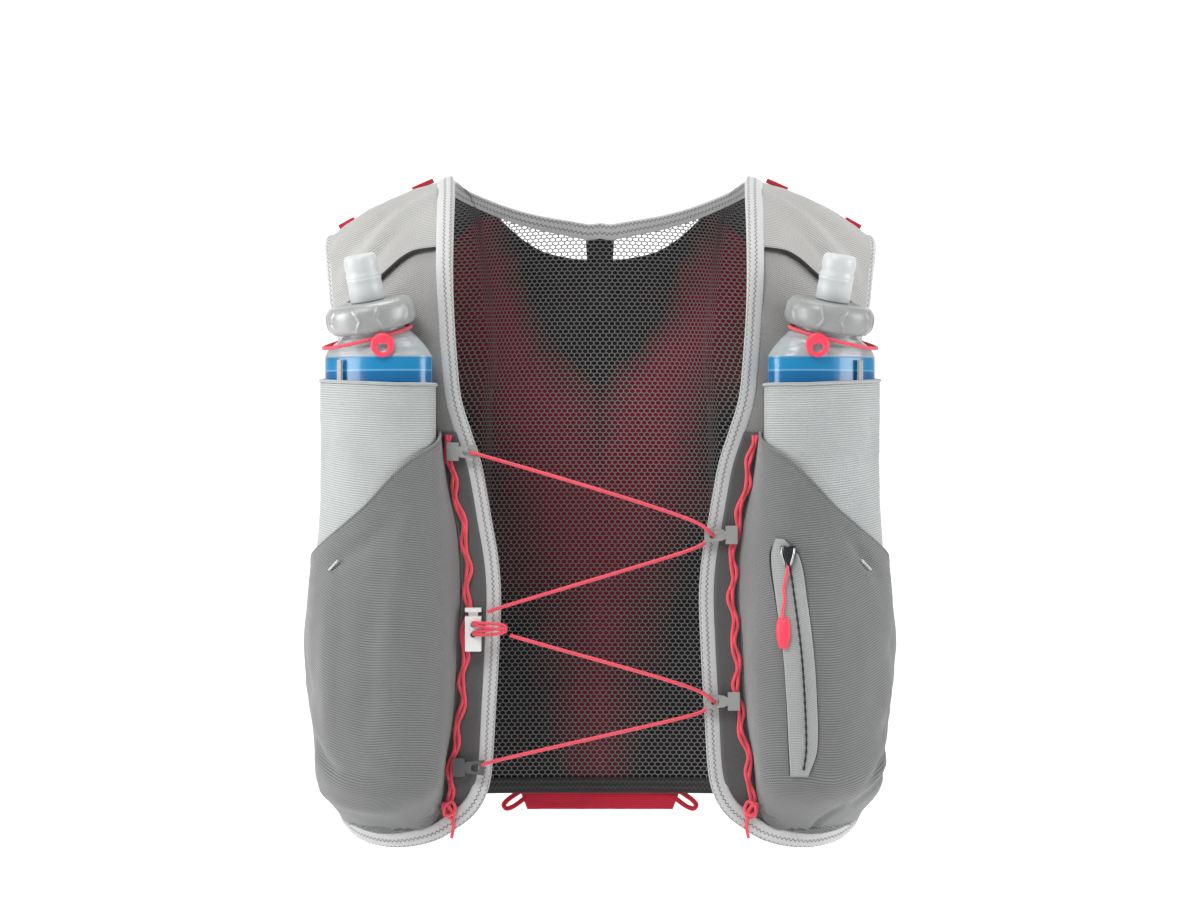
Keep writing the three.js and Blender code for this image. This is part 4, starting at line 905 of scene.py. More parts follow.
@dataclass(frozen=True)
class MouldedFinish(Finish):
    """A moulded plastic, silicone or film."""

    colour: tuple[float, float, float]
    roughness: float
    speckle: float = 0.06
    metallic: float = 0.0
    transmission: float = 0.0
    subsurface: float = 0.0
    coat: float = 0.0

    def paint(self, bench: NodeBench, shader: bpy.types.Node, place: bpy.types.Node, shop: PatternShop) -> None:
        """Even colour with a faint cloud and a fine grain."""
        cloud = bench.noise(place.outputs["Object"], 60.0, 3.0)
        fine = bench.noise(place.outputs["Object"], 1500.0, 2.0)
        light = tuple(min(c * (1 + self.speckle), 1.0) for c in self.colour)
        dark = tuple(c * (1 - self.speckle * 1.5) for c in self.colour)
        bench.link(bench.mix(cloud, dark, light), shader.inputs["Base Color"])
        bench.link(bench.math("MULTIPLY_ADD", cloud, 0.16, self.roughness - 0.08), shader.inputs["Roughness"])
        bench.relief(shader, fine, 0.35, 0.0001)
        shader.inputs["Metallic"].default_value = self.metallic
        shader.inputs["Transmission Weight"].default_value = self.transmission
        shader.inputs["Coat Weight"].default_value = self.coat
        if self.subsurface:
            shader.inputs["Subsurface Weight"].default_value = self.subsurface
            shader.inputs["Subsurface Radius"].default_value = (0.004, 0.004, 0.004)


@dataclass(frozen=True)
class FlaskFinish(Finish):
    """Soft film of the flask: clear at the shoulder, blue below, with a weld line. UV y is the drop."""

    name: str = "flask_film"
    slot: str = "blue_film"
    clear: tuple[float, float, float] = (0.46, 0.50, 0.52)
    blue: tuple[float, float, float] = (0.010, 0.24, 0.50)
    deep_blue: tuple[float, float, float] = (0.006, 0.15, 0.38)
    edge: float = 0.1145
    weld: float = 0.1225

    def paint(self, bench: NodeBench, shader: bpy.types.Node, place: bpy.types.Node, shop: PatternShop) -> None:
        """Clear shoulder, two blues and the weld between them."""
        split = bench.add("ShaderNodeSeparateXYZ")
        bench.link(place.outputs["UV"], split.inputs[0])
        drop = split.outputs[1]
        above = bench.step_down(drop, self.edge, 0.001)
        upper = bench.step_down(drop, self.weld, 0.0015)
        seam = bench.step_down(bench.math("ABSOLUTE", bench.math("SUBTRACT", drop, self.weld)), 0.0005, 0.0004)
        tone = bench.mix(upper, self.deep_blue, self.blue)
        tone = bench.mix(bench.math("MULTIPLY", seam, 0.6), tone, (0.2, 0.5, 0.8))
        cloud = bench.noise(place.outputs["Object"], 40.0, 3.0)
        pale = bench.mix(cloud, tuple(c * 0.8 for c in self.clear), self.clear)
        bench.link(bench.mix(above, tone, pale), shader.inputs["Base Color"])
        bench.link(bench.math("MULTIPLY_ADD", cloud, 0.15, 0.16), shader.inputs["Roughness"])
        ribs = bench.math("SINE", bench.math("MULTIPLY", split.outputs[0], 900.0))
        high = bench.math("ADD", bench.math("MULTIPLY", ribs, above), bench.math("MULTIPLY", cloud, 2.0))
        bench.relief(shader, high, 0.3, 0.0008)
        shader.inputs["Transmission Weight"].default_value = 0.15
        shader.inputs["Coat Weight"].default_value = 0.3


@dataclass(frozen=True)
class LiningFinish(Finish):
    """Lining of the pack behind the net: red running from both shoulders to the middle, near black elsewhere, the near
    black partly black cloth and partly painted shade inside the pack.
    """

    name: str = "pack_lining_cloth"
    slot: str = "net_cloth"
    # dark: near black that stands partly for a black divider and partly for painted shade inside the pack
    dark: tuple[float, float, float] = (0.007, 0.006, 0.006)
    red: tuple[float, float, float] = (0.34, 0.007, 0.03)

    def paint(self, bench: NodeBench, shader: bpy.types.Node, place: bpy.types.Node, shop: PatternShop) -> None:
        """Red bands in a near black twill; the near black is partly painted shade."""
        split = bench.add("ShaderNodeSeparateXYZ")
        bench.link(place.outputs["Object"], split.inputs[0])
        reach = bench.math("ABSOLUTE", split.outputs[0])
        drop = bench.math("MULTIPLY", split.outputs[2], -1.0)
        # inner and outer bound the red; the near black at the upper middle and the outer sides is partly painted shade
        inner = bench.math("MULTIPLY_ADD", drop, -0.52, 0.085)
        outer = bench.math("MULTIPLY_ADD", drop, -0.33, 0.125)
        cloud = bench.math("SUBTRACT", bench.noise(place.outputs["Object"], 9.0), 0.5)
        cloud = bench.math("MULTIPLY", cloud, 0.09)
        inside = bench.step_down(inner, bench.math("ADD", reach, cloud), 0.03)
        outside = bench.step_down(bench.math("ADD", reach, cloud), outer, 0.05)
        red = bench.math("MULTIPLY", inside, outside)
        pattern = bench.add("ShaderNodeGroup", node_tree=shop.group(Weave.TWILL))
        pattern.inputs["Pitch"].default_value = 0.0014
        bench.link(place.outputs["UV"], pattern.inputs["Vector"])
        # Red inside the mask, near black outside it, partly painted shade of the inside of the pack
        tone = bench.mix(red, self.dark, self.red)
        thread = bench.mix(bench.math("MULTIPLY", pattern.outputs["Mask"], 0.35), tone, (0.0, 0.0, 0.0))
        bench.link(thread, shader.inputs["Base Color"])
        bench.relief(shader, pattern.outputs["Height"], 0.3, 0.0003)
        shader.inputs["Roughness"].default_value = 0.9


class Wardrobe:
    """Every finish of the vest, built once and handed out by name."""

    FINISHES = (
        ClothFinish("panel_knit", "grey_cloth", (0.20, 0.197, 0.193), (0.42, 0.415, 0.405), Weave.RIB, 0.0013, 0.7),
        ClothFinish("strap_knit", "grey_cloth", (0.27, 0.265, 0.26), (0.54, 0.535, 0.52), Weave.RIB, 0.0014, 0.7),
        ClothFinish("pocket_knit", "pale_cloth", (0.27, 0.28, 0.28), (0.56, 0.58, 0.58), Weave.RIB, 0.0014, 0.7),
        ClothFinish("outer_twill", "dark_cloth", (0.085, 0.087, 0.087), (0.25, 0.255, 0.255), Weave.TWILL, 0.0016, 0.8,
                    sheen=0.4),
        # strip_twill: the outer pockets' dark twill painted darker, as shade between the binding and the rail; the side
        # linings use it too
        ClothFinish("strip_twill", "dark_cloth", (0.06, 0.06, 0.06), (0.15, 0.15, 0.15), Weave.TWILL, 0.0012, 0.7),
        # binding_tape: the dark second tone draws the zigzag stitches as painted shade of the stitch holes, not as the
        # pale threads
        ClothFinish("binding_tape", "binding_cloth", (0.56, 0.56, 0.56), (0.17, 0.17, 0.17), Weave.ZIGZAG, 0.0030, 0.9,
                    mottle=0.06),
        ClothFinish("dark_tape", "binding_cloth", (0.035, 0.034, 0.034), (0.09, 0.09, 0.09), Weave.ZIGZAG, 0.0030, 0.9),
        ClothFinish("black_web", "dark_cloth", (0.008, 0.008, 0.008), (0.03, 0.03, 0.03), Weave.WEBBING, 0.0012, 0.6),
        ClothFinish("open_net", "net_cloth", (0.02, 0.018, 0.018), (0.21, 0.205, 0.205), Weave.NET, 0.0041, 0.6,
                    open_net=True),
        ClothFinish("red_stretch", "red_cloth", (0.42, 0.01, 0.03), (0.68, 0.025, 0.06), Weave.RIB, 0.0012, 0.5),
        ClothFinish("red_webbing", "red_cloth", (0.45, 0.008, 0.025), (0.80, 0.03, 0.06), Weave.WEBBING, 0.0012, 0.8),
        ClothFinish("elastic_cord", "pink_cord", (0.72, 0.035, 0.07), (0.97, 0.11, 0.155), Weave.BRAID, 0.0016, 0.8,
                    roughness=0.7),
        ClothFinish("piping", "dark_cloth", (0.02, 0.02, 0.02), (0.06, 0.06, 0.06), Weave.PLAIN, 0.001, 0.4),
        ClothFinish("loop_elastic", "binding_cloth", (0.24, 0.24, 0.24), (0.56, 0.56, 0.56), Weave.RIB, 0.0009, 0.6),
        ClothFinish("stitch_thread", "binding_cloth", (0.55, 0.55, 0.54), (0.82, 0.82, 0.80), Weave.RIB, 0.0008, 0.9),
        ClothFinish("zip_ribbon", "zip_tape_cloth", (0.22, 0.225, 0.225), (0.46, 0.47, 0.47), Weave.RIB, 0.0010, 0.4,
                    roughness=0.5, sheen=0.0),
        MouldedFinish("hook_plastic", "grey_plastic", (0.36, 0.36, 0.355), 0.36),
        MouldedFinish("dark_hook_plastic", "grey_plastic", (0.11, 0.11, 0.113), 0.36),
        MouldedFinish("lock_plastic", "white_plastic", (0.84, 0.84, 0.83), 0.33, coat=0.2),
        MouldedFinish("collar_plastic", "clear_plastic", (0.34, 0.355, 0.35), 0.32, transmission=0.12),
        MouldedFinish("valve_silicone", "pale_silicone", (0.60, 0.62, 0.62), 0.33, subsurface=0.3),
        MouldedFinish("valve_mouth", "pale_silicone", (0.05, 0.05, 0.055), 0.5),
        MouldedFinish("pull_rubber", "pink_cord", (0.90, 0.05, 0.10), 0.45),
        MouldedFinish("slider_metal", "black_metal", (0.012, 0.012, 0.014), 0.25, coat=0.5),
        MouldedFinish("prong_metal", "black_metal", (0.55, 0.55, 0.56), 0.3, metallic=1.0),
        FlaskFinish(),
        LiningFinish(),
    )

    def __init__(self) -> None:
        """Sorts the finishes by name."""
        self.shop = PatternShop()
        self.by_name = {finish.name: finish for finish in self.FINISHES}
        self.made: dict[str, bpy.types.Material] = {}

    def cloth(self, name: str) -> bpy.types.Material:
        """The material of a finish, built at its first use."""
        if name not in self.made:
            self.made[name] = self.by_name[name].material(self.shop)
        return self.made[name]

    def slot(self, name: str) -> str:
        """The slot name of a finish."""
        return self.by_name[name].slot


# ---------------------------------------------------------------- mesh makers


@dataclass(frozen=True)
class Fold:
    """A soft ridge or, with a negative height, a crease, from one point of a sheet to another."""

    u0: float
    v0: float
    u1: float
    v1: float
    width: float
    height: float

    def at(self, u: float, v: float, wide: float, tall: float) -> float:
        """Height of the fold at a point of a sheet of a given size."""
        a = Vector((self.u0 * wide, self.v0 * tall))
        b = Vector((self.u1 * wide, self.v1 * tall))
        p = Vector((u * wide, v * tall))
        along = b - a
        t = clamp((p - a).dot(along) / along.length_squared)
        away = (p - a - along * t).length
        taper = 0.35 + 0.65 * math.sin(math.pi * clamp(t, 0.03, 0.97))
        return self.height * taper * math.exp(-((away / self.width) ** 2))


def finish_mesh(mesh_bm: bmesh.types.BMesh, name: str, material: bpy.types.Material) -> bpy.types.Object:
    """Turns a bmesh in millimetres into a smooth object in metres.

    Args:
        mesh_bm: The shape, freed afterwards.
        name: Name of the piece.
        material: Its finish.

    Returns:
        The object, at the origin.
    """
    bmesh.ops.scale(mesh_bm, vec=(MM, MM, MM), verts=mesh_bm.verts)
    for face in mesh_bm.faces:
        face.smooth = True
    mesh = bpy.data.meshes.new(name)
    mesh_bm.to_mesh(mesh)
    mesh_bm.free()
    mesh.materials.append(material)
    piece = bpy.data.objects.new(name, mesh)
    bpy.context.scene.collection.objects.link(piece)
    return piece


@dataclass
class Sheet:
    """One layer of cloth on the body or a pocket: a grid of points, lifted off by a height."""

    name: str
    rows: int
    cols: int
    at: Place
    lift: Height
    wall: float
    folds: tuple[Fold, ...] = ()
    wrinkle: float = 0.0
    wrinkle_size: float = 30.0
    side: Side = Side.LEFT
    form: BodyForm = BodyForm()

    def build(self, material: bpy.types.Material) -> bpy.types.Object:
        """Builds the sheet with its wall and rim.

        Args:
            material: Its cloth.

        Returns:
            The object.
        """
        base = [[self.at(r / self.rows, c / self.cols) for c in range(self.cols + 1)] for r in range(self.rows + 1)]
        wide = sum((base[self.rows // 2][c + 1] - base[self.rows // 2][c]).length for c in range(self.cols))
        tall = sum((base[r + 1][self.cols // 2] - base[r][self.cols // 2]).length for r in range(self.rows))
        middle = self._normal(base, self.rows // 2, self.cols // 2)
        hand = 1 if self.form.outward(base[self.rows // 2][self.cols // 2], middle) == middle else -1
        bm = bmesh.new()
        bmesh.ops.create_grid(bm, x_segments=self.cols, y_segments=self.rows, size=0.5)
        uv = bm.loops.layers.uv.new("UVMap")
        grid: dict[int, tuple[int, int]] = {}
        for vert in bm.verts:
            grid[vert.index] = (round((vert.co.y + 0.5) * self.rows), round((vert.co.x + 0.5) * self.cols))
        flat = self._lengths(base)
        for vert in bm.verts:
            r, c = grid[vert.index]
            v, u = r / self.rows, c / self.cols
            high = self.lift(v, u) + sum(f.at(u, v, wide, tall) for f in self.folds)
            if self.wrinkle:
                spot = Vector((u * wide, v * tall, 7.0 * len(self.name))) / self.wrinkle_size
                edge = min(1.0, 6 * min(u, 1 - u), 6 * min(v, 1 - v))
                high += self.wrinkle * edge * (noise.noise(spot) + 0.5 * noise.noise(spot * 2.3))
            vert.co = self.side.turned(base[r][c] + self._normal(base, r, c) * (hand * high))
        for face in bm.faces:
            for loop in face.loops:
                r, c = grid[loop.vert.index]
                loop[uv].uv = (flat[r][c][0] * MM, flat[r][c][1] * MM)
        if hand * self.side.value < 0:
            bmesh.ops.reverse_faces(bm, faces=bm.faces)
        piece = finish_mesh(bm, self.name, material)
        wall = piece.modifiers.new("wall", "SOLIDIFY")
        wall.thickness = self.wall * MM
        wall.offset = -1.0
        return piece

    @staticmethod
    def _normal(base: list[list[Vector]], r: int, c: int) -> Vector:
        """Normal of the grid at a point."""
        rows, cols = len(base) - 1, len(base[0]) - 1
        a = base[r][min(c + 1, cols)] - base[r][max(c - 1, 0)]
        b = base[min(r + 1, rows)][c] - base[max(r - 1, 0)][c]
        n = a.cross(b)
        return n.normalized() if n.length > 1e-9 else Vector((0, -1, 0))

    @staticmethod
    def _lengths(base: list[list[Vector]]) -> list[list[tuple[float, float]]]:
        """Cloth lengths along each row and column, for the weave."""
        out = [[(0.0, 0.0)] * len(base[0]) for _ in base]
        middle = len(base[0]) // 2
        for r, line in enumerate(base):
            run = [0.0]
            for a, b in zip(line, line[1:]):
                run.append(run[-1] + (b - a).length)
            for c in range(len(line)):
                down = out[r - 1][c][1] + (base[r][c] - base[r - 1][c]).length if r else 0.0
                out[r][c] = (run[c] - run[middle], down)
        return out


def tube(name: str, rings: Sequence[Sequence[Vector]], material: bpy.types.Material, joined: bool = False,
         around_as_share: bool = False) -> bpy.types.Object:
    """Closed skin through rings of points, with UV along and round it in metres.

    Args:
        name: Name of the piece.
        rings: Rings of equal count, in millimetres.
        material: Its finish.
        joined: Whether the last ring meets the first.
        around_as_share: Whether the UV round it counts turns in steps that suit a braid.

    Returns:
        The object.
    """
    rings = list(rings) + ([rings[0]] if joined else [])
    steps, count = len(rings) - 1, len(rings[0])
    bm = bmesh.new()
    bmesh.ops.create_grid(bm, x_segments=count, y_segments=steps, size=0.5)
    uv = bm.loops.layers.uv.new("UVMap")
    run = [0.0]
    for a, b in zip(rings, rings[1:]):
        run.append(run[-1] + (b[0] - a[0]).length)
    turn = [0.0]
    for k in range(count):
        turn.append(turn[-1] + (rings[0][(k + 1) % count] - rings[0][k]).length)
    cells = {v.index: (round((v.co.y + 0.5) * steps), round((v.co.x + 0.5) * count)) for v in bm.verts}
    for face in bm.faces:
        for loop in face.loops:
            r, c = cells[loop.vert.index]
            round_it = BRAID_ROUND * c / count if around_as_share else turn[c] * MM
            loop[uv].uv = (run[r] * MM, round_it)
    for vert in bm.verts:
        r, c = cells[vert.index]
        vert.co = rings[r][c % count]
    bmesh.ops.remove_doubles(bm, verts=bm.verts, dist=1e-4)
    if not joined:
        bmesh.ops.holes_fill(bm, edges=[e for e in bm.edges if e.is_boundary], sides=0)
    bmesh.ops.recalc_face_normals(bm, faces=bm.faces)
    return finish_mesh(bm, name, material)


def cord(name: str, path: Sequence[Vector], diameter: float, material: bpy.types.Material, joined: bool = False,
         count: int = 10, swell: Callable[[float], float] | None = None) -> bpy.types.Object:
    """Round cord along a path.

    Args:
        name: Name of the piece.
        path: Points in millimetres.
        diameter: Its diameter.
        material: Its finish.
        joined: Whether it closes on itself.
        count: Points round it.
        swell: Share of the radius at a share of the length.

    Returns:
        The object.
    """
    rings = []
    last = len(path) - 1
    side = None
    for i, p in enumerate(path):
        before = path[i - 1] if i or joined else path[0]
        after = path[(i + 1) % len(path)] if i < last or joined else path[last]
        t = (after - before).normalized()
        if side is None:
            side = t.orthogonal().normalized()
        side = (side - t * side.dot(t)).normalized()
        up = t.cross(side)
        radius = diameter / 2 * (swell(i / last) if swell else 1.0)
        rings.append([p + (side * math.cos(a) + up * math.sin(a)) * radius for a in turns(count)])
    return tube(name, rings, material, joined, around_as_share=True)


def turned_piece(name: str, profile: Sequence[tuple[float, float]], place: Matrix, material: bpy.types.Material,
                 steps: int = 64, relief: Height | None = None) -> bpy.types.Object:
    """Round piece from a closed profile of (radius, height), spun about its axis.

    Args:
        name: Name of the piece.
        profile: Radii and heights in millimetres.
        place: Frame of its axis, in millimetres.
        material: Its finish.
        steps: Points round it.
        relief: Height off the side at a turn and a height.

    Returns:
        The object.
    """
    bm = bmesh.new()
    verts = [bm.verts.new((r, 0, h)) for r, h in profile]
    edges = [bm.edges.new((a, b)) for a, b in zip(verts, verts[1:])]
    if profile[0][0] > 1e-6 and profile[-1][0] > 1e-6:
        edges.append(bm.edges.new((verts[-1], verts[0])))
    bmesh.ops.spin(bm, geom=[*verts, *edges], cent=(0, 0, 0), axis=(0, 0, 1), angle=2 * math.pi, steps=steps,
                   use_merge=True)
    bmesh.ops.remove_doubles(bm, verts=bm.verts, dist=1e-4)
    bmesh.ops.recalc_face_normals(bm, faces=bm.faces)
    uv = bm.loops.layers.uv.new("UVMap")
    wide = max(r for r, _ in profile)
    for face in bm.faces:
        centre = face.calc_center_median()
        turn0 = math.atan2(centre.y, centre.x)
        for loop in face.loops:
            turn = math.atan2(loop.vert.co.y, loop.vert.co.x)
            turn += 2 * math.pi * round((turn0 - turn) / (2 * math.pi))
            loop[uv].uv = (turn * wide * MM, loop.vert.co.z * MM)
    if relief:
        for vert in bm.verts:
            radius = math.hypot(vert.co.x, vert.co.y)
            if radius > wide - 3.0:
                grown = 1 + relief(math.atan2(vert.co.y, vert.co.x), vert.co.z) / radius
                vert.co.x *= grown
                vert.co.y *= grown
    bmesh.ops.transform(bm, matrix=place, verts=bm.verts)
    return finish_mesh(bm, name, material)


class Maker:
    """Base of each sub-assembly: keeps the form and the wardrobe, and settles the pieces it makes on their bodies."""

    def __init__(self, wardrobe: Wardrobe, form: PocketForm) -> None:
        """Keeps what every sub-assembly needs."""
        self.wardrobe = wardrobe
        self.pocket = form
        self.flask = form.flask
        self.cut = form.flask.cut
        self.form = form.flask.cut.form

    def settle(self, piece: bpy.types.Object, finish: str, *nodes: str, body: str = BODY) -> bpy.types.Object:
        """Rides a piece on its body and hides the solids that it replaces.

        Args:
            piece: The piece.
            finish: Name of its finish.
            nodes: Solids that it stands for.
            body: Body that it rides on.

        Returns:
            The same piece.
        """
        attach(piece, body)
        self.wardrobe.slot(finish)
        if nodes:
            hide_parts(*nodes)
        LOG.info("%s: %d faces", piece.name, len(piece.data.polygons))
        return piece

    def sheet(self, finish: str, *nodes: str, **values: object) -> bpy.types.Object:
        """Builds and settles one sheet."""
        return self.settle(Sheet(form=self.form, **values).build(self.wardrobe.cloth(finish)), finish, *nodes)

    def cord(self, finish: str, *nodes: str, body: str = BODY, **values: object) -> bpy.types.Object:
        """Builds and settles one cord."""
        return self.settle(cord(material=self.wardrobe.cloth(finish), **values), finish, *nodes, body=body)


class BackPanel(Maker):
    """The net against the wearer's back, its lining, the pack outside it and what hangs at its hem."""

    pack_half = 148.0
    pack_bulge = 26.0
    pack_seat = 4.65
    pack_wall = 1.5
    bottom_half = 62.0
    bottom_deep = 19
    bottom_seat = 3.55

    def _net_top(self, across: float) -> float:
        """Climb of the net's upper edge."""
        line = self.cut.neck
        start = abs(line[0].x)
        if abs(across) >= start:
            return self.form.arch_length
        return min(crossing(line, 0, abs(across)) - 4.0, self.form.arch_length)

    def _net_edge(self, climb: float) -> float:
        """Half width of the net in cloth length at a climb."""
        seam = self.cut.net_seam
        bottom = self.cut.arm_inside[0][-1].y
        if climb < bottom - 1:
            return seam
        edge = self.cut.arm_back_edge(climb) + 6.3
        return min(edge, seam) if climb < 0.1 * self.form.arch_length else edge

    def _behind(self, reach: float, climb: float) -> Vector:
        """Point of the back at a reach, with its edges drawn in a little."""
        across = self.form.across_of(abs(reach) * 0.98, max(climb, -200))
        return self.form.point(BACK, math.copysign(across, reach), climb)

    def build(self) -> None:
        """Builds every piece of the back."""
        cut, f = self.cut, self.form
        low = cut.hem_climb + 6

        def net_point(v: float, u: float) -> Vector:
            """Point of the net."""
            share = 2 * u - 1
            top = f.arch_length
            for _ in range(6):
                top = self._net_top(share * self._net_edge(top))
            climb = lerp(low, top, v)
            return f.point(BACK, share * self._net_edge(climb), climb)

        self.sheet("open_net", "back_net", name="back_net_cloth", rows=90, cols=90, at=net_point,
                   lift=lambda v, u: cut.net_seat, wall=cut.net_wall)

        def lining_point(v: float, u: float) -> Vector:
            """Point of the pack's inner layer."""
            reach = (2 * u - 1) * (self.pack_half + 2)
            top = f.climb_at(abs(reach), cut.pack_top(reach)) + 3
            climb = lerp(low, top, v)
            return self._behind(reach, climb)

        self.sheet("pack_lining_cloth", name="pack_lining", rows=60, cols=60, at=lining_point,
                   lift=lambda v, u: 2.3, wall=cut.lining_wall)

        def pack_point(v: float, u: float) -> Vector:
            """Point of the pack's outer layer before its bulge."""
            reach = (2 * u - 1) * self.pack_half
            top = f.climb_at(abs(reach), cut.pack_top(reach))
            climb = lerp(top, cut.hem_climb + 11, v)
            return self._behind(reach, climb)

        def pack_lift(v: float, u: float) -> float:
            """How far the pack stands off the body."""
            share = abs(2 * u - 1)
            bulge = self.pack_bulge * (1 - share ** 2.4) * max(math.sin(math.pi * v), 0) ** 1.5
            return self.pack_seat + max(bulge, 0)

        folds = (Fold(0.1, 0.2, 0.35, 0.5, 9, -2.9), Fold(0.9, 0.22, 0.63, 0.5, 9, -2.9),
                 Fold(0.2, 0.8, 0.45, 0.7, 8, -2.5), Fold(0.85, 0.85, 0.6, 0.72, 8, -2.5),
                 Fold(0.3, 0.1, 0.7, 0.1, 7, 1.8))
        self.sheet("panel_knit", "back_pack", name="back_pack_cloth", rows=90, cols=100, at=pack_point,
                   lift=pack_lift, wall=self.pack_wall, folds=folds, wrinkle=0.9, wrinkle_size=34)
        rim = []
        for k in range(81):
            u = 0.03 + 0.94 * k / 80
            p, q = pack_point(0, u), pack_point(0.01, u)
            a = pack_point(0, u + 0.005) - pack_point(0, u - 0.005)
            n = f.outward(p, a.cross(q - p).normalized())
            rim.append(p + n * (pack_lift(0, u) - self.pack_wall / 2))
        self.cord("piping", name="pack_rim", path=rim, diameter=2.6)

        def strap_point(v: float, u: float) -> Vector:
            """Point of the dark strap between the two windows of the net."""
            start = crossing(cut.neck_inside, 0, 0.0) + 2
            end = f.climb_at(0, cut.pack_top(0)) - 22
            return f.point(BACK, 8.6 * (1 - 0.3 * v) * (2 * u - 1), lerp(start, end, v))

        self.sheet("black_web", "back_strap", name="back_strap_web", rows=24, cols=8, at=strap_point,
                   lift=lambda v, u: 2.75, wall=1.2)

        def bottom_point(v: float, u: float) -> Vector:
            """Point of the red panel at the hem."""
            share = 2 * u - 1
            top = f.arch_drop - cut.side_hem * f.vest_length + 8
            return f.point(BACK, self.bottom_half * (1 - 0.12 * v) * share, top - self.bottom_deep * v)

        self.sheet("red_stretch", "back_bottom_panel", name="bottom_panel_cloth", rows=14, cols=60, at=bottom_point,
                   lift=lambda v, u: self.bottom_seat, wall=1.3, wrinkle=0.35, wrinkle_size=9)
        for side in Side:
            path = [(-12, -6), (-7, -2), (-1, 1.5), (4.5, 5), (7.2, 8), (5.5, 10.4), (1, 9.4), (-5, 6), (-10, 2.5)]
            drop = cut.side_hem * f.vest_length
            points = [side.turned(f.cloth(BACK, self.bottom_half + 2.65 + a, f.arch_drop - drop - d,
                                       self.bottom_seat))
                      for a, d in path]
            self.cord("red_webbing", f"bottom_loop_{side.word}", name=f"hem_loop_{side.word}",
                      path=smooth_line(points, 50), diameter=3.4)


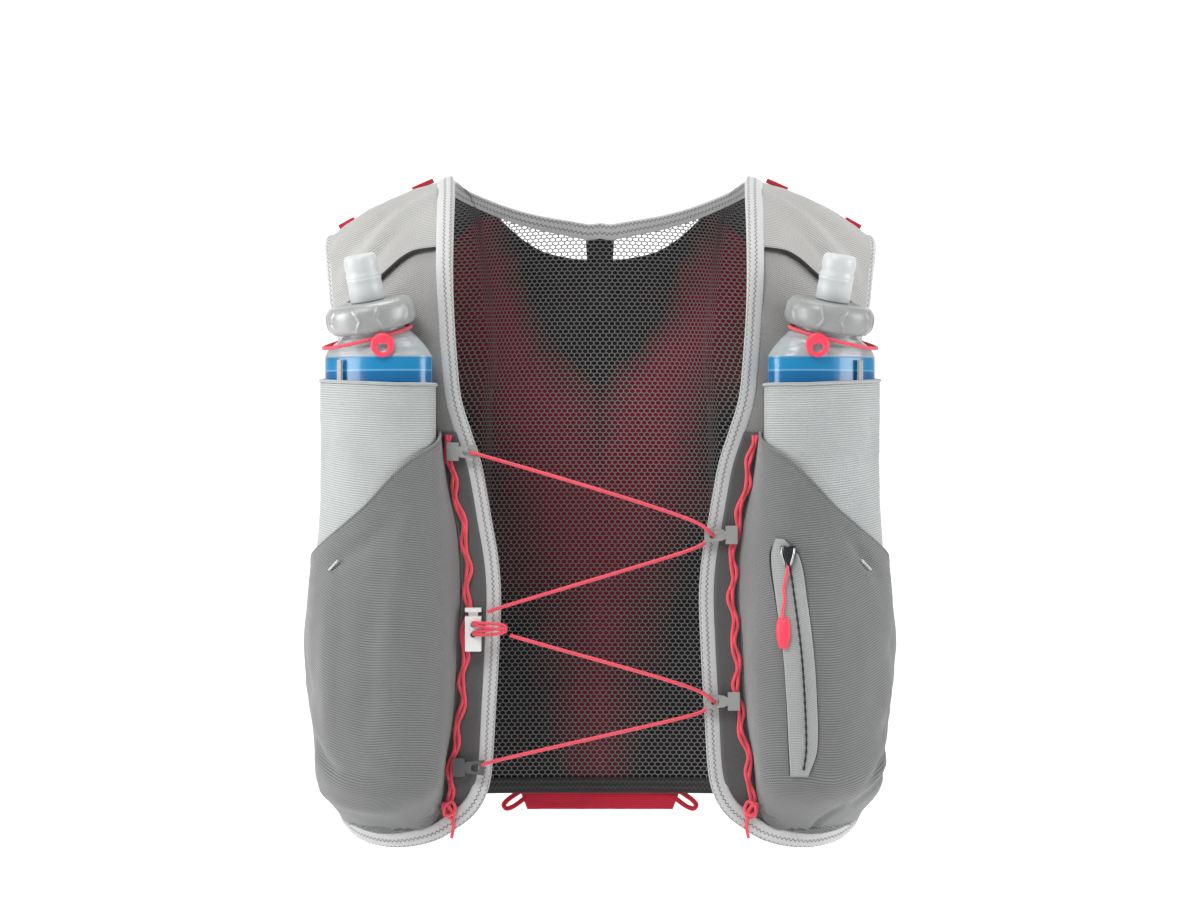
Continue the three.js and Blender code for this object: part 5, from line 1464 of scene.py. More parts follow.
class SidesAndFronts(Maker):
    """Front panels, side nets, dark strips and shoulder straps of both sides."""

    def build(self, side: Side) -> None:
        """Builds the cloth of one side.

        Args:
            side: Which side.
        """
        cut, f = self.cut, self.form
        word = side.word

        def panel_point(v: float, u: float) -> Vector:
            """Point of the front panel."""
            start = lerp(cut.inside[0][-1].x, f.side_seam, u)
            climb = lerp(cut.hem_edge(start) - 3, f.arch_length, v)
            across = lerp(cut.inner_edge(climb) - 6, min(cut.outer_edge(climb) + 6, f.side_seam), u)
            return f.point(FRONT, across, climb)

        folds = (Fold(0.15, 0.72, 0.8, 0.62, 7, -2.4), Fold(0.2, 0.76, 0.85, 0.66, 6, 2.2),
                 Fold(0.1, 0.68, 0.6, 0.6, 6, 1.8))
        self.sheet("panel_knit", f"front_panel_{word}", name=f"front_panel_cloth_{word}", rows=110, cols=36,
                   at=panel_point, lift=lambda v, u: cut.panel_wall, wall=cut.panel_wall, folds=folds, side=side)

        def side_point(v: float, u: float) -> Vector:
            """Point of the side panel."""
            across = lerp(f.side_seam, 2 * f.side_seam - cut.net_seam, u)
            low = min(cut.arm_inside[0][-1].y, 0) + 6
            top = crossing(cut.arm_inside[1], 0, across) + 5 if u > 0.02 else low
            return f.point(FRONT, across, lerp(cut.hem_climb + 6, max(top, low), v))

        self.sheet("open_net", f"side_panel_{word}", name=f"side_net_{word}", rows=50, cols=16, at=side_point,
                   lift=lambda v, u: cut.net_seat, wall=cut.net_wall, side=side)
        self.sheet("strip_twill", name=f"side_lining_{word}", rows=50, cols=16, at=side_point,
                   lift=lambda v, u: 2.2, wall=cut.lining_wall, side=side)

        def strip_point(v: float, u: float) -> Vector:
            """Point of the dark strip beside the rail."""
            drop = lerp(cut.rail_rows[0][0] * f.vest_length, cut.opening_rows[-1][0] * f.vest_length - 3, v)
            climb = f.arch_drop - drop
            return f.point(FRONT, lerp(cut.inner_edge(climb) - 2, cut.rail_across(drop) + 3.4, u), climb)

        # The strip is the pockets' dark cloth; its darker twill is painted shade between the binding and the rail.
        self.sheet("strip_twill", f"front_strip_{word}", name=f"front_strip_cloth_{word}", rows=60, cols=6,
                   at=strip_point, lift=lambda v, u: 2.45, wall=cut.tape_wall, side=side)

        def strap_climb(v: float, u: float) -> float:
            """Climb of a point of the shoulder strap."""
            reach = lerp(cut.flap_rows[0][0], cut.flap_rows[-1][0], u)
            flap = f.climb_at(reach * f.shoulder_half, f.arch_drop * smooth_value(cut.flap_rows, reach))
            return lerp(flap, cut.strap_end(round(u, 4)), v)

        def strap_point(v: float, u: float) -> Vector:
            """Point of the shoulder strap's outer layer."""
            climb = strap_climb(v, u)
            return f.point(FRONT, lerp(cut.strap_inner(climb) - 2, cut.strap_outer(climb) + 2, u), climb)

        def strap_lift(v: float, u: float) -> float:
            """Height of the strap's outer face, with its padding."""
            puff = cut.strap_puff * math.sin(math.pi * u) * math.sin(math.pi * clamp(v, 0.05, 0.95))
            return 2.85 + puff + cut.strap_wall

        folds = (Fold(0.05, 0.3, 0.75, 0.08, 8, 3.0), Fold(0.15, 0.36, 0.85, 0.16, 6, -2.6),
                 Fold(0.2, 0.46, 0.95, 0.24, 8, 2.4), Fold(0.35, 0.12, 0.85, 0.02, 5, -1.8),
                 Fold(0.3, 0.62, 0.8, 0.52, 9, 2.2))
        self.sheet("strap_knit", f"shoulder_strap_{word}", name=f"shoulder_strap_cloth_{word}", rows=90, cols=44,
                   at=strap_point, lift=strap_lift, wall=cut.strap_wall, folds=folds, wrinkle=0.5, wrinkle_size=22,
                   side=side)

        def lining_point(v: float, u: float) -> Vector:
            """Point of the dark layer between the strap and the net, seen from inside."""
            climb = lerp(f.arch_length - 4, cut.strap_end(round(u, 4)) + 4, v)
            return f.point(FRONT, lerp(cut.strap_inner(climb) - 1, cut.strap_outer(climb) + 2, u), climb)

        self.sheet("black_web", name=f"strap_lining_{word}", rows=30, cols=20, at=lining_point,
                   lift=lambda v, u: 2.5, wall=0.5, side=side)
        edge = []
        for k in range(41):
            u = k / 40
            climb = strap_climb(0, u)
            across = lerp(cut.strap_inner(climb), cut.strap_outer(climb), u)
            puff = cut.strap_puff * math.sin(math.pi * u) * math.sin(math.pi * 0.05)
            edge.append(side.turned(f.cloth(FRONT, across, climb, 3.4 + puff)))
        self.cord("piping", name=f"flap_piping_{word}", path=edge, diameter=2.0)


class Bindings(Maker):
    """Stretch tape folded over every raw edge, with two rows of zigzag stitches."""

    def _tape(self, name: str, node: str, face: int, line: Sequence[Vector], hand: int, side: Side,
              finish: str = "binding_tape", width: float = 10.5) -> None:
        """Builds one tape.

        Args:
            name: Name of the piece.
            node: Solid that it stands for.
            face: FRONT or BACK.
            line: Edge line in the cloth's plane.
            hand: Side of the line that the cloth is on.
            side: Side of the wearer.
            finish: Its cloth.
            width: Width of one face.
        """
        cut, f = self.cut, self.form
        thick_from = f.arch_drop - 0.9 * f.vest_length
        count = 22
        low, high = (cut.panel_wall - cut.binding_wall) / 2, (cut.panel_wall + cut.binding_wall) / 2
        middle, half = (low + high) / 2, (high - low) / 2
        rings = [[] for _ in line]
        for k in range(count):
            turn = 2 * math.pi * k / count + math.pi
            c, s = math.cos(turn), math.sin(turn)
            reach = width / 2 * (1 + math.copysign(abs(c) ** 0.5, c))
            lift = middle + half * math.copysign(abs(s) ** 0.55, -s)
            shifted = moved(line, reach, hand)
            for ring, edge, p in zip(rings, line, shifted):
                layered = max(clamp((thick_from - edge.y) / 18), clamp((edge.y - 30) / 25))
                over = 3.4 * layered if face == FRONT and s < 0 else 0.0
                ring.append(side.turned(f.cloth(face, p.x, p.y, lift + over * abs(s) ** 0.4)))
        self.settle(tube(name, rings, self.wardrobe.cloth(finish)), finish, node)

    def build(self) -> None:
        """Builds the six tapes."""
        cut, f = self.cut, self.form
        for side in Side:
            self._tape(f"opening_tape_{side.word}", f"front_binding_{side.word}", FRONT, cut.opening, 1, side)
            self._tape(f"armhole_tape_{side.word}", f"armhole_binding_{side.word}", FRONT, cut.armhole, -1, side)
        self._tape("neck_tape", "neck_binding", BACK, cut.neck, 1, Side.LEFT, width=8.8)
        hem = [Vector((lerp(-f.side_seam, f.side_seam, k / 150), cut.hem_climb, 0)) for k in range(151)]
        self._tape("hem_tape", "back_hem_binding", BACK, hem, 1, Side.LEFT, "dark_tape")


class Pockets(Maker):
    """Flask pockets, the darker outer pockets over them, and their edges."""

    bead = 2.0
    inner_end = 300

    def build(self, side: Side) -> None:
        """Builds the pockets of one side.

        Args:
            side: Which side.
        """
        pocket, cut, word = self.pocket, self.cut, side.word

        def inner_drop(v: float, u: float) -> float:
            """Drop of a point of the flask pocket."""
            mouth = pocket.mouth - pocket.mouth_rise * clamp((u - 0.3) / 0.5)
            return lerp(mouth, self.inner_end, v)

        folds = (Fold(0.2, 0.1, 0.5, 0.05, 6, 1.8), Fold(0.2, 0.34, 0.4, 0.2, 6, -1.8),
                 Fold(0.56, 0.1, 0.44, 0.4, 7, -1.8), Fold(0.22, 0.5, 0.42, 0.4, 6, 1.5))
        self.sheet("pocket_knit", f"flask_pocket_{word}", name=f"flask_pocket_cloth_{word}", rows=70, cols=70,
                   at=lambda v, u: pocket.point(u, inner_drop(v, u)), lift=lambda v, u: cut.pocket_wall,
                   wall=cut.pocket_wall, folds=folds, wrinkle=0.35, wrinkle_size=18, side=side)
        self._edge(f"mouth_hem_{word}", "pocket_knit", side, lambda u: inner_drop(0, u), 1.4)

        full = 0.6
        bottom = self.flask.bottom - 6

        def outer_drop(v: float, u: float) -> float:
            """Drop of a point of the outer pocket."""
            if v < full:
                return lerp(pocket.slope_drop(u), bottom, v / full)
            return lerp(bottom, pocket.hem_drop(u), (v - full) / (1 - full))

        if side is Side.RIGHT:
            folds = (Fold(0.54, 0.54, 0.43, 0.67, 5, -3.6), Fold(0.43, 0.67, 0.18, 0.73, 7, -3.0),
                     Fold(0.44, 0.2, 0.44, 0.56, 7, 2.4), Fold(0.3, 0.3, 0.34, 0.6, 9, -2.0),
                     Fold(0.24, 0.1, 0.46, 0.07, 5, -2.2), Fold(0.52, 0.8, 0.24, 0.84, 7, 3.0),
                     Fold(0.6, 0.3, 0.5, 0.46, 7, -2.2), Fold(0.22, 0.12, 0.28, 0.4, 6, 1.6))
        else:
            folds = (Fold(0.61, 0.53, 0.45, 0.72, 4.5, -3.6), Fold(0.62, 0.38, 0.49, 0.54, 5, -2.8),
                     Fold(0.6, 0.63, 0.42, 0.81, 4.5, -3.2), Fold(0.6, 0.58, 0.46, 0.75, 4, 2.4),
                     Fold(0.63, 0.18, 0.49, 0.33, 7, -2.4), Fold(0.36, 0.05, 0.46, 0.09, 4, -2.4),
                     Fold(0.37, 0.82, 0.25, 0.97, 3, -2.0), Fold(0.5, 0.3, 0.5, 0.5, 8, 1.8))
        self.sheet("outer_twill", f"outer_pocket_{word}", name=f"outer_pocket_cloth_{word}", rows=100, cols=90,
                   at=lambda v, u: pocket.point(u, outer_drop(v, u)),
                   lift=lambda v, u: pocket.outer_seat + cut.outer_wall, wall=cut.outer_wall, folds=folds,
                   wrinkle=0.7, wrinkle_size=26, side=side)
        self._edge(f"slope_hem_{word}", "outer_twill", side, pocket.slope_drop, pocket.outer_seat + 0.9)
        self._tack(side)
        self._loop(side)

    def _edge(self, name: str, finish: str, side: Side, drop: Callable[[float], float],
              lift: float) -> None:
        """Builds the folded bead along a pocket's upper edge.

        Args:
            name: Name of the piece.
            finish: Its cloth.
            side: Side of the wearer.
            drop: Drop of the edge at a share of the girth.
            lift: How far the bead's middle lies off the inner pocket.
        """
        path = []
        for k in range(121):
            u = k / 120
            path.append(side.turned(self.pocket.lifted(u, drop(u), lift)))
        self.cord(finish, name=name, path=path, diameter=self.bead)

    def _tack(self, side: Side) -> None:
        """Builds the stitched bar at the outer pocket's edge."""
        path = []
        for k in range(9):
            share = k / 8 - 0.5
            reach, drop = 155.5 + 5.5 * share, 238.5 + 6.0 * share
            around = self.pocket.around_at(reach, drop, 0.6)
            path.append(side.turned(self.pocket.lifted(around, drop, self.pocket.outer_seat + 1.9)))
        self.cord("stitch_thread", name=f"bar_tack_{side.word}", path=path, diameter=1.5)

    def _loop(self, side: Side) -> None:
        """Builds the elastic loop at the outer end of the pocket's mouth."""
        pocket = self.pocket

        def at(v: float, u: float) -> Vector:
            """Point of the loop."""
            drop = pocket.mouth - pocket.mouth_rise * 0.6 - 12.35 + 14 * v
            return pocket.point(0.52 + 0.02 * (u - 0.5), max(drop, self.flask.shoulder + 2))

        self.sheet("loop_elastic", f"pocket_loop_{side.word}", name=f"mouth_loop_{side.word}", rows=16, cols=6, at=at,
                   lift=lambda v, u: 1.1, wall=0.9, side=side)


class Flasks(Maker):
    """Soft flasks with their caps, bite valves, neck cords and pull tabs."""

    cord_reach = 27
    cord_depth = 21.6
    shoulder_rings = ((0.0, 1.0, 1.0, 0.0), (0.3, 0.9, 0.95, 0.15), (0.65, 0.72, 0.88, 0.5), (0.9, 0.58, 0.87, 0.85))

    def _ring(self, rise: float, wide: float, deep: float, turn: float, count: int) -> list[Vector]:
        """One ring of the flask's shoulder."""
        flask = self.flask
        centre, t, n = flask.frame(flask.shoulder)
        axis, nu, nv = flask.neck_axes
        middle = centre + axis * ((flask.shoulder - flask.neck) * rise / axis.z)
        u = t.lerp(nu, turn).normalized()
        v = (-n).lerp(nv, turn).normalized()
        return [middle + u * (wide * flask.half_width * math.cos(a)) + v * (deep * flask.half_depth * math.sin(a))
                for a in turns(count)]

    def build(self, side: Side) -> None:
        """Builds one flask.

        Args:
            side: Which side.
        """
        flask, word = self.flask, side.word
        count = 56
        rings = []
        for k in range(46):
            share = k / 45
            drop = lerp(flask.bottom, flask.shoulder, share)
            centre, t, n = flask.frame(round(drop, 3))
            size = 0.82 + 0.18 * clamp(share / 0.05) ** 0.5
            rings.append([centre + t * (flask.half_width * size * math.cos(a))
                          - n * (flask.half_depth * size * math.sin(a)) for a in turns(count)])
        table = list(zip(*self.shoulder_rings))
        for k in range(1, 15):
            rise = 0.9 * k / 14
            wide, deep, turn = (smooth_value(tuple(zip(table[0], col)), rise) for col in table[1:])
            rings.append(self._ring(rise, wide, deep, turn, count))
        matrix = flask.neck_frame
        for radius, height in ((flask.neck_radius, 0.4), (flask.neck_radius, 6.0), (flask.neck_radius, 13.8)):
            rings.append([matrix @ Vector((radius * math.cos(a), radius * math.sin(a), height))
                          for a in turns(count)])
        rings = [[side.turned(p) for p in ring] for ring in rings]
        body = tube(f"flask_film_{word}", rings, self.wardrobe.cloth("flask_film"))
        layer = body.data.uv_layers[0].data
        for loop in body.data.loops:
            layer[loop.index].uv.y = -body.data.vertices[loop.vertex_index].co.z
        self.settle(body, "flask_film", f"flask_body_{word}")
        mirror = Matrix.Diagonal((side.value, 1, 1, 1))
        place = mirror @ matrix
        self._cap(side, place)
        self._valve(side, place)
        self._retention(side)
        self._stitch_loop(side)

    def _cap(self, side: Side, place: Matrix) -> None:
        """Builds the collar with its embossed side."""
        low, top, radius = 1.6, 18.6, 26.2
        skirt = self.flask.neck_radius + self.cut.gap
        side_rings = [(radius - 1.6 * abs(k / 8 - 1) ** 3, lerp(low + 1.4, top - 2.2, k / 16)) for k in range(17)]
        profile = [(skirt, low), (radius - 4, low), (radius - 2.6, low + 0.4), *side_rings,
                   (radius - 2.6, top - 0.9), (radius - 4.2, top - 0.2), (radius - 6, top),
                   (14.2, top), (13.6, top - 0.5), (12.6, top - 0.5), (12.0, top), (6.4, top), (6.4, top - 2.6),
                   (skirt, self.flask.neck_height + self.cut.gap)]
        panels = 10

        def ridges(turn: float, height: float) -> float:
            """Raised chevrons that frame six-sided facets round the collar."""
            share = clamp((height - low - 1.0) / (top - low - 3.0))
            step = turn * panels / (2 * math.pi)
            kink = 0.24 * (1 - abs(2 * share - 1)) * (1 if round(step) % 2 else -1)
            away = abs(step - round(step) - kink) * 2 * math.pi * radius / panels
            return 1.1 * math.exp(-((away / 0.8) ** 2)) * math.sin(math.pi * clamp(share, 0.04, 0.96)) ** 0.4

        piece = turned_piece(f"flask_collar_{side.word}", profile, place, self.wardrobe.cloth("collar_plastic"), 220,
                             ridges)
        self.settle(piece, "collar_plastic", f"flask_cap_{side.word}", body=f"cap_{side.word}")

    def _valve(self, side: Side, place: Matrix) -> None:
        """Builds the bite valve and its dark mouth."""
        seat, high, radius = 18.95, 28.0, 10.4
        profile = [(0, seat - 4.6), (6.05, seat - 4.6), (6.05, seat), (radius - 0.6, seat), (radius, seat + 0.7),
                   (radius - 0.1, seat + high * 0.3), (radius - 0.2, seat + high * 0.44),
                   (radius + 0.15, seat + high * 0.46), (radius + 0.15, seat + high * 0.48),
                   (radius - 0.25, seat + high * 0.5),
                   (radius + 0.05, seat + high * 0.53), (radius + 0.1, seat + high * 0.56),
                   (radius - 0.6, seat + high * 0.60), (radius - 0.6, seat + high * 0.66),
                   (radius - 0.1, seat + high * 0.72), (radius - 0.2, seat + high * 0.86),
                   (radius - 0.7, seat + high * 0.95), (radius - 1.6, seat + high * 0.99), (radius - 3, seat + high),
                   (6.2, seat + high), (5.2, seat + high - 0.8), (4.8, seat + high - 3), (0, seat + high - 3.4)]
        piece = turned_piece(f"valve_{side.word}", profile, place, self.wardrobe.cloth("valve_silicone"), 64)
        self.settle(piece, "valve_silicone", f"bite_valve_{side.word}", body=f"cap_{side.word}")
        slit = [(0, seat + high - 3.2), (4.6, seat + high - 2.9), (4.6, seat + high - 2.2), (0, seat + high - 2.4)]
        mouth = turned_piece(f"valve_mouth_{side.word}", slit, place, self.wardrobe.cloth("valve_mouth"), 40)
        self.settle(mouth, "valve_mouth", body=f"cap_{side.word}")

    def _retention(self, side: Side) -> None:
        """Builds the elastic round the neck and its pull tab."""
        axis, nu, nv = self.flask.neck_axes
        base = self.flask.neck_frame.translation
        tilt = math.radians(4)
        u = nu * math.cos(tilt) - axis * math.sin(tilt)
        centre = base - axis * 2.6 + nu * 4.6
        path = [side.turned(centre + u * (self.cord_reach * math.cos(a)) + nv * (self.cord_depth * math.sin(a)))
                for a in turns(90)]
        self.cord("elastic_cord", f"retention_cord_{side.word}", name=f"neck_cord_{side.word}", path=path,
                  diameter=2.2, joined=True)
        middle = side.turned(Vector((base.x - 7, base.y - self.cord_depth - 1.1 - self.cut.gap - 1.0, base.z - 9)))
        rings = []
        for turn in turns(60):
            over = (1 + math.sin(turn)) / 2
            out = Vector((math.cos(turn), 0, math.sin(turn)))
            wide = lerp(1.5, 3.3, over ** 1.5)
            spot = middle + out * lerp(5.6, 4.2, over)
            rings.append([spot + out * (wide * math.cos(a)) + Vector((0, math.sin(a), 0))
                          for a in turns(14)])
        piece = tube(f"pull_ring_{side.word}", rings, self.wardrobe.cloth("pull_rubber"), joined=True)
        self.settle(piece, "pull_rubber", f"pull_tab_{side.word}")

    def _stitch_loop(self, side: Side) -> None:
        """Builds the thin cord loop on the panel behind the valve."""
        f = self.form
        climb = f.climb_at(146, 86)
        across = f.across_of(146, climb)
        points = [side.turned(f.cloth(FRONT, across + a, climb + c, 1.5 + lift))
                  for a, c, lift in ((-3, 0, 0), (-2.6, 7, 4), (0, 14, 6.5), (2.6, 7, 4), (3, 0, 0))]
        self.cord("elastic_cord", f"cord_loop_{side.word}", name=f"panel_loop_{side.word}",
                  path=smooth_line(points, 30), diameter=1.8)


class Lacing(Maker):
    """Rails, hooks, cord lock and the chest cord laced between them."""

    hook_wall = 2.4
    hook_seat = 1.9 + 3.8
    cord_size = 2.2
    rail_size = 2.3
    sway, sway_length = 1.3, 27
    pinch, pinch_length = 0.35, 17

    def _back(self, x: float, drop: float) -> float:
        """Depth of a hook's back at a reach and a drop."""
        f = self.form
        climb = f.arch_drop - drop
        return f.cloth(FRONT, f.across_of(abs(x), climb), climb, self.hook_seat).y

    def _rail(self, side: Side) -> None:
        """Builds the two gathered strands of one rail and the knot at its end."""
        cut, f = self.cut, self.form
        top = cut.rail_rows[0][0] * f.vest_length + 2
        bottom = cut.opening_rows[-1][0] * f.vest_length - 2
        for strand, name in ((-1, "inner"), (1, "outer")):
            path = []
            for k in range(401):
                drop = lerp(top, bottom, k / 400)
                wave = self.sway * math.sin(2 * math.pi * drop / self.sway_length + side.value)
                part = strand * (1.05 + self.pinch * math.sin(2 * math.pi * drop / self.pinch_length))
                lift = 4.0 + 0.4 * math.sin(4 * math.pi * drop / self.sway_length + strand)
                across = cut.rail_across(drop) + wave + part
                path.append(side.turned(f.cloth(FRONT, across, f.arch_drop - drop, lift)))
            nodes = (f"rail_cord_{side.word}",) if strand > 0 else ()
            self.cord("elastic_cord", *nodes, name=f"rail_{name}_{side.word}", path=path,
                      diameter=self.rail_size, count=8)
        drop = cut.opening_rows[-1][0] * f.vest_length - 4
        base = cut.rail_across(drop) - 1.5
        turns = [(-3, 4, 0), (-1, -1, 1), (3, -4, 0.5), (4, 0, -0.6), (0, 3, 1.3), (-4, 0, 0.6), (-2, -5, -0.4),
                 (2, -3, 1.6), (3, 3, 0.6), (-1, 5, -0.2), (-2, 9, 0), (0, 17, 0)]
        points = [side.turned(f.cloth(FRONT, base + a, f.arch_drop - drop - d, 7.2 + lift)) for a, d, lift in turns]
        self.cord("elastic_cord", f"rail_knot_{side.word}", name=f"knot_{side.word}", path=smooth_line(points, 90),
                  diameter=2.1)

    def _laced(self, route: Sequence[tuple[float, float, float]]) -> list[Vector]:
        """Path of a chest cord from its (reach, drop, forward) points."""
        points = []
        for x, drop, forward in route:
            held = clamp(abs(x), 60, 90)
            points.append(Vector((x, self._back(held, drop) - forward, -drop)))
        return smooth_line(points, 160)

    def build(self, nodes: dict[str, bpy.types.Object]) -> None:
        """Builds rails and cords and dresses the hooks and the lock.

        Args:
            nodes: Solids of the vest by name.
        """
        for side in Side:
            self._rail(side)
        front = self.hook_wall + self.cut.gap + self.cord_size / 2
        routes = {
            "chest_cord_upper": [(-78.2, 171.4, front), (-74, 172.4, front), (60, 214.5, front), (65.4, 219.2, front),
                                 (67.2, 220.4, front - 0.8), (68.1, 221, 1.4), (67.6, 221.6, -0.6),
                                 (65.6, 223, -1.6), (61, 227, -1.6), (54, 230, 0), (-60, 264.6, 1),
                                 (-67.5, 267.2, 2)],
            "chest_cord_lower": [(-54, 281, front), (60, 314.8, front), (66.4, 319.2, front),
                                 (68.2, 320.4, front - 0.8), (69.1, 321, 1.4), (68.6, 321.6, -0.6),
                                 (66.6, 323, -1.6), (61, 327.4, -1.6), (54, 329.6, 0), (-66, 357.4, front),
                                 (-71, 359.2, front)],
        }
        for node, route in routes.items():
            self.cord("elastic_cord", node, name=f"{node}_braid", path=self._laced(route), diameter=self.cord_size)
        lock_x, lock_drop, travel = -76.0, 267.0, 2.6
        face = self._back(lock_x, lock_drop) + 1.0 - 8.0
        for node, below, spread in (("lock_cord_upper", 4.5, 1.0), ("lock_cord_lower", 10.5, -1.0)):
            drop = lock_drop + travel + below
            out = [(0, 1.4, 0), (0.5, -1.4, 0.2), (4, -2.6, 0.9), (9, -2.2, 1.3), (14, -1.0, 1.5), (18, 0.2, 1.2),
                   (19.8, 0.8, 0), (18, 0.4, -1.2), (14, -0.8, -1.5), (9, -1.8, -1.3), (4, -2.0, -1.1),
                   (0.6, -0.8, -0.9), (0.2, 1.4, -0.8)]
            path = [Vector((lock_x + x, face + y, -drop - z - spread * x * 0.11)) for x, y, z in out]
            self.cord("elastic_cord", node, name=f"{node}_braid", path=smooth_line(path, 90), diameter=2.0)
        dress = {"hook_upper_right": "hook_plastic", "hook_upper_left": "hook_plastic",
                 "hook_lower_left": "hook_plastic", "hook_lower_right": "dark_hook_plastic",
                 "cord_lock": "lock_plastic", "cord_lock_button": "lock_plastic"}
        for name, finish in dress.items():
            dress_node(nodes[name], self.wardrobe.cloth(finish))
        for side in Side:
            for place in ("inner", "outer"):
                dress_node(nodes[f"shoulder_tab_{place}_{side.word}"], self.wardrobe.cloth("red_webbing"))


def dress_node(node: bpy.types.Object, material: bpy.types.Material) -> None:
    """Gives a solid its finish."""
    if not node.material_slots:
        node.data.materials.append(material)
    for slot in node.material_slots:
        slot.material = material


class ZipPocket(Maker):
    """Zip down the left outer pocket, with its slider and pull."""

    rows_reach: Table = ((0.54, 0.615), (0.565, 0.63), (0.627, 0.648), (0.7, 0.667), (0.77, 0.678), (0.842, 0.683),
                         (0.88, 0.672))
    rows_wide: Table = ((0.54, 0.25), (0.565, 0.9), (0.627, 1.0), (0.7, 1.0), (0.77, 1.0), (0.842, 0.95), (0.88, 0.6))
    seat = 4.85
    pull_size = 1.8

    def _on(self, x: float, drop: float, lift: float) -> Vector:
        """Point over the pocket at a reach and a drop."""
        return self.pocket.lifted(self.pocket.around_at(x, drop), drop, lift)

    def _reach(self, share: float) -> float:
        """Reach of the zip's middle at a share of the vest's length."""
        return self.form.half_width * smooth_value(self.rows_reach, share)

    def build(self) -> None:
        """Builds tape, teeth, slider and pull."""

        def tape_point(v: float, u: float) -> Vector:
            """Point of the tape."""
            share = lerp(0.54, 0.88, v)
            drop = share * self.form.vest_length
            aside = 15 * smooth_value(self.rows_wide, share) * (u - 0.5) / 205
            around = self.pocket.around_at(self._reach(share), drop) + aside
            return self.pocket.point(around, drop)

        self.sheet("zip_ribbon", "zip_tape", name="zip_ribbon_tape", rows=70, cols=12, at=tape_point,
                   lift=lambda v, u: self.seat + self.cut.tape_wall, wall=self.cut.tape_wall)
        line = []
        for k in range(101):
            share = lerp(0.575, 0.87, k / 100)
            line.append(self._on(self._reach(share) + 1.5, share * self.form.vest_length, self.seat + 1.1))
        self.cord("piping", name="zip_seam", path=line, diameter=1.3,
                  swell=lambda t: 1 + 0.3 * math.sin(2 * math.pi * t * 75))
        for hand, name in ((-1, "inner"), (1, "outer")):
            edge = []
            for k in range(81):
                share = lerp(0.55, 0.878, k / 80)
                wide = 7.9 * smooth_value(self.rows_wide, share)
                edge.append(self._on(self._reach(share) + hand * wide, share * self.form.vest_length, self.seat + 0.3))
            self.cord("piping", name=f"zip_edge_{name}", path=edge, diameter=1.1, count=6)
        self._slider()
        self._pull()

    def _slider(self) -> None:
        """Builds the teardrop slider and its two prongs."""

        def at(v: float, u: float) -> Vector:
            """Point of the slider's outline."""
            drop = 226.5 + 13 * v
            x = 112.5 + 8.5 * (1 - 0.35 * v) * (u - 0.5) * (0.55 + 0.45 * math.sin(math.pi * clamp(v + 0.2)))
            return self.pocket.point(self.pocket.around_at(x, drop), drop)

        self.sheet("slider_metal", "zip_slider", name="slider_plate", rows=16, cols=10, at=at,
                   lift=lambda v, u: self.seat + 2.0 + 2.0 * math.sin(math.pi * clamp(u, 0.02, 0.98)) ** 0.5, wall=2.2)
        for k, x in enumerate((109.6, 115.0)):
            path = smooth_line([self._on(x, 227, self.seat + 2.2), self._on(x, 231, self.seat + 4.0),
                                self._on(x * 0.5 + 56, 238, self.seat + 3.4)], 16)
            self.cord("prong_metal", name=f"slider_prong_{k}", path=path, diameter=1.2)

    def _pull(self) -> None:
        """Builds the pull cord and its moulded end."""
        route = [(112.3, 238.5, 2.0), (112.0, 242, 2.6), (111, 247, 1.6), (110.2, 253, 1.5), (110.6, 259, 1.5),
                 (109.6, 265, 1.5), (109.8, 270, 1.5)]
        path = smooth_line([self._on(x, d, self.seat + 1.3 + lift) for x, d, lift in route], 40)
        thread = self.cord("elastic_cord", "zip_pull_cord", name="pull_thread", path=path,
                           diameter=self.pull_size)

        def at(v: float, u: float) -> Vector:
            """Point of the moulded end."""
            drop = 269 + 18 * v
            wide = 6.6 * (0.55 + 0.45 * math.sin(math.pi * clamp(v * 0.85 + 0.12)))
            return self.pocket.point(self.pocket.around_at(109.8 + wide * (u - 0.5), drop), drop)

        grip = self.sheet("pull_rubber", "zip_pull_end", name="pull_grip", rows=22, cols=10, at=at,
                          lift=lambda v, u: self.seat + 2.2 + 1.9 * (math.sin(math.pi * clamp(u, 0.02, 0.98))
                                                                     * math.sin(math.pi * clamp(v, 0.03, 0.97))) ** 0.4,
                          wall=2.2)


# ---------------------------------------------------------------- studio


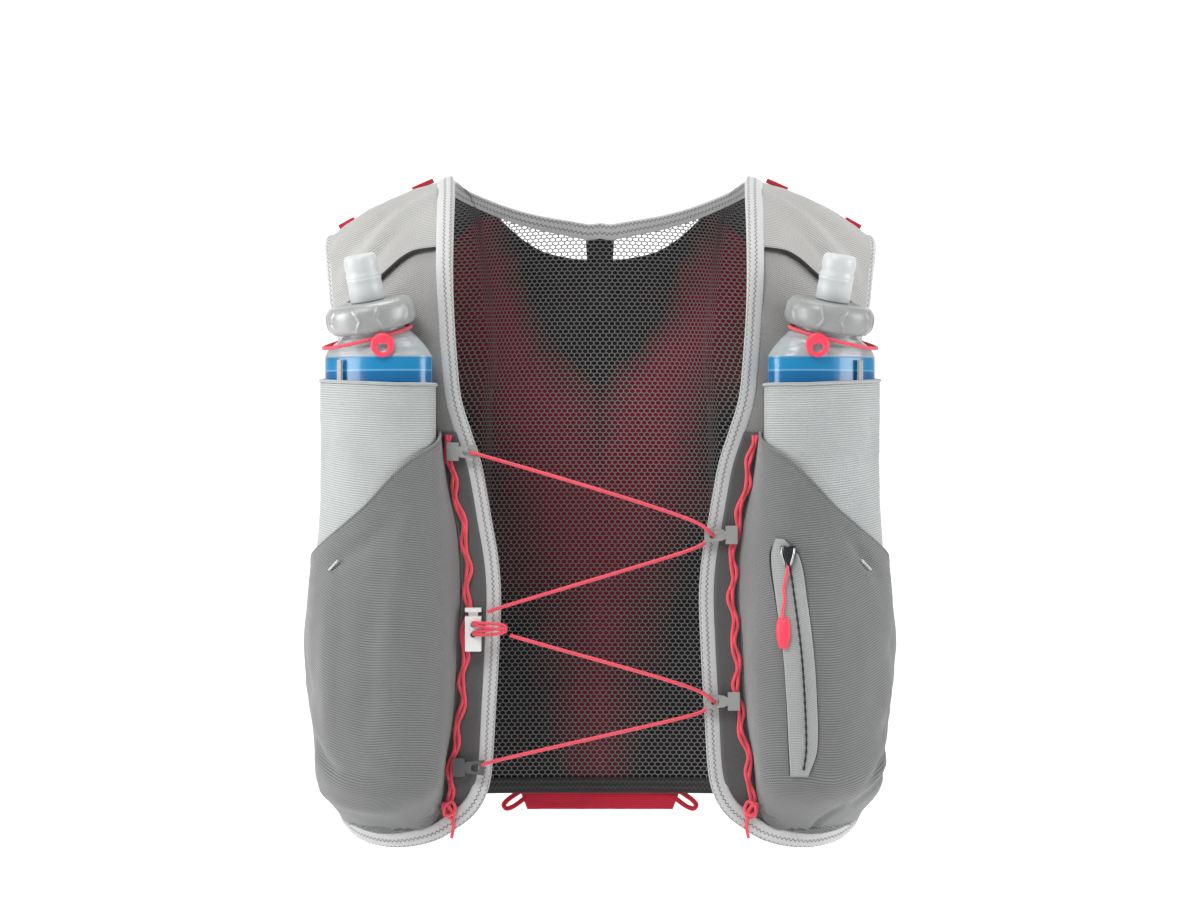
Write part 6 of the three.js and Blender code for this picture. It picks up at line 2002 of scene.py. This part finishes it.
@dataclass(frozen=True)
class Studio:
    """Plain pale studio with soft light (name, place, size and power of each lamp), and the photograph's camera."""

    camera_at: tuple[float, float, float] = (0.0, -1.91, -0.17)
    lens: float = 90.0
    floor: float = -0.62
    near_edge: float = -5.0
    bend_start: float = 2.0
    bend_radius: float = 1.4
    lights_table: tuple[tuple[str, tuple[float, float, float], float, float], ...] = (
        ("key", (-0.9, -1.8, 1.7), 1.1, 40.0), ("rim_left", (-1.7, -0.5, 0.1), 1.0, 20.0),
        ("rim_right", (1.7, -0.5, 0.1), 1.0, 19.0), ("top", (0.0, 0.1, 1.8), 1.2, 16.0),
        ("paper", (0.0, 1.6, 1.6), 2.6, 70.0))
    surround: float = 0.25

    def camera(self) -> None:
        """Places the camera level, looking along +Y."""
        data = bpy.data.cameras.new("camera")
        data.lens = self.lens
        data.sensor_width = 36.0
        camera = bpy.data.objects.new("camera", data)
        camera.location = self.camera_at
        camera.rotation_euler = (math.pi / 2, 0, 0)
        bpy.context.scene.collection.objects.link(camera)
        bpy.context.scene.camera = camera

    def stage(self) -> None:
        """Builds the floor that sweeps up into the backdrop."""
        bm = bmesh.new()
        bmesh.ops.create_grid(bm, x_segments=2, y_segments=60, size=0.5)
        for vert in bm.verts:
            x, t = vert.co.x * 14, vert.co.y + 0.5
            if t < 0.5:
                vert.co = (x, lerp(self.near_edge, self.bend_start, t / 0.5), self.floor)
            elif t < 0.75:
                a = (t - 0.5) / 0.25 * math.pi / 2
                vert.co = (x, self.bend_start + self.bend_radius * math.sin(a),
                           self.floor + self.bend_radius * (1 - math.cos(a)))
            else:
                vert.co = (x, self.bend_start + self.bend_radius, self.floor + self.bend_radius + (t - 0.75) * 20)
        for face in bm.faces:
            face.smooth = True
        mesh = bpy.data.meshes.new("stage")
        bm.to_mesh(mesh)
        bm.free()
        mat = bpy.data.materials.new("stage_paper")
        mat.use_nodes = True
        shader = mat.node_tree.nodes["Principled BSDF"]
        shader.inputs["Base Color"].default_value = (0.86, 0.86, 0.86, 1)
        shader.inputs["Roughness"].default_value = 0.95
        mesh.materials.append(mat)
        stage = bpy.data.objects.new("stage", mesh)
        bpy.context.scene.collection.objects.link(stage)
        stage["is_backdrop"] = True

    def lights(self) -> None:
        """Places the soft lights and the even surround."""
        for name, place, size, power in self.lights_table:
            data = bpy.data.lights.new(name, "AREA")
            data.size = size
            data.energy = power
            light = bpy.data.objects.new(name, data)
            light.location = place
            goal = Vector((0, 3.0, 0.2)) if name == "paper" else Vector((0, 0, -0.2))
            light.rotation_euler = (goal - Vector(place)).to_track_quat("-Z", "Y").to_euler()
            bpy.context.scene.collection.objects.link(light)
        world = bpy.data.worlds.new("surround")
        world.use_nodes = True
        world.node_tree.nodes["Background"].inputs[0].default_value = (1, 1, 1, 1)
        world.node_tree.nodes["Background"].inputs[1].default_value = self.surround
        bpy.context.scene.world = world
        bpy.context.scene.view_settings.view_transform = "Standard"


def plain(box: object) -> object:
    """A box as plain lists of numbers."""
    if isinstance(box, (list, tuple, Vector)):
        return [plain(part) for part in box]
    return float(box)


def main() -> None:
    """Builds the studio and dresses the vest."""
    logging.basicConfig(level=logging.INFO, format="%(name)s: %(message)s")
    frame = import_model()
    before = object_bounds()
    studio = Studio()
    studio.camera()
    studio.stage()
    studio.lights()
    wardrobe, form = Wardrobe(), PocketForm()
    BackPanel(wardrobe, form).build()
    fronts, pockets, flasks = SidesAndFronts(wardrobe, form), Pockets(wardrobe, form), Flasks(wardrobe, form)
    for side in Side:
        fronts.build(side)
        pockets.build(side)
        flasks.build(side)
    Bindings(wardrobe, form).build()
    Lacing(wardrobe, form).build(frame["nodes"])
    ZipPocket(wardrobe, form).build()
    {"cad": plain(before), "visual": plain(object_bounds())}


if __name__ == "__main__":
    main()
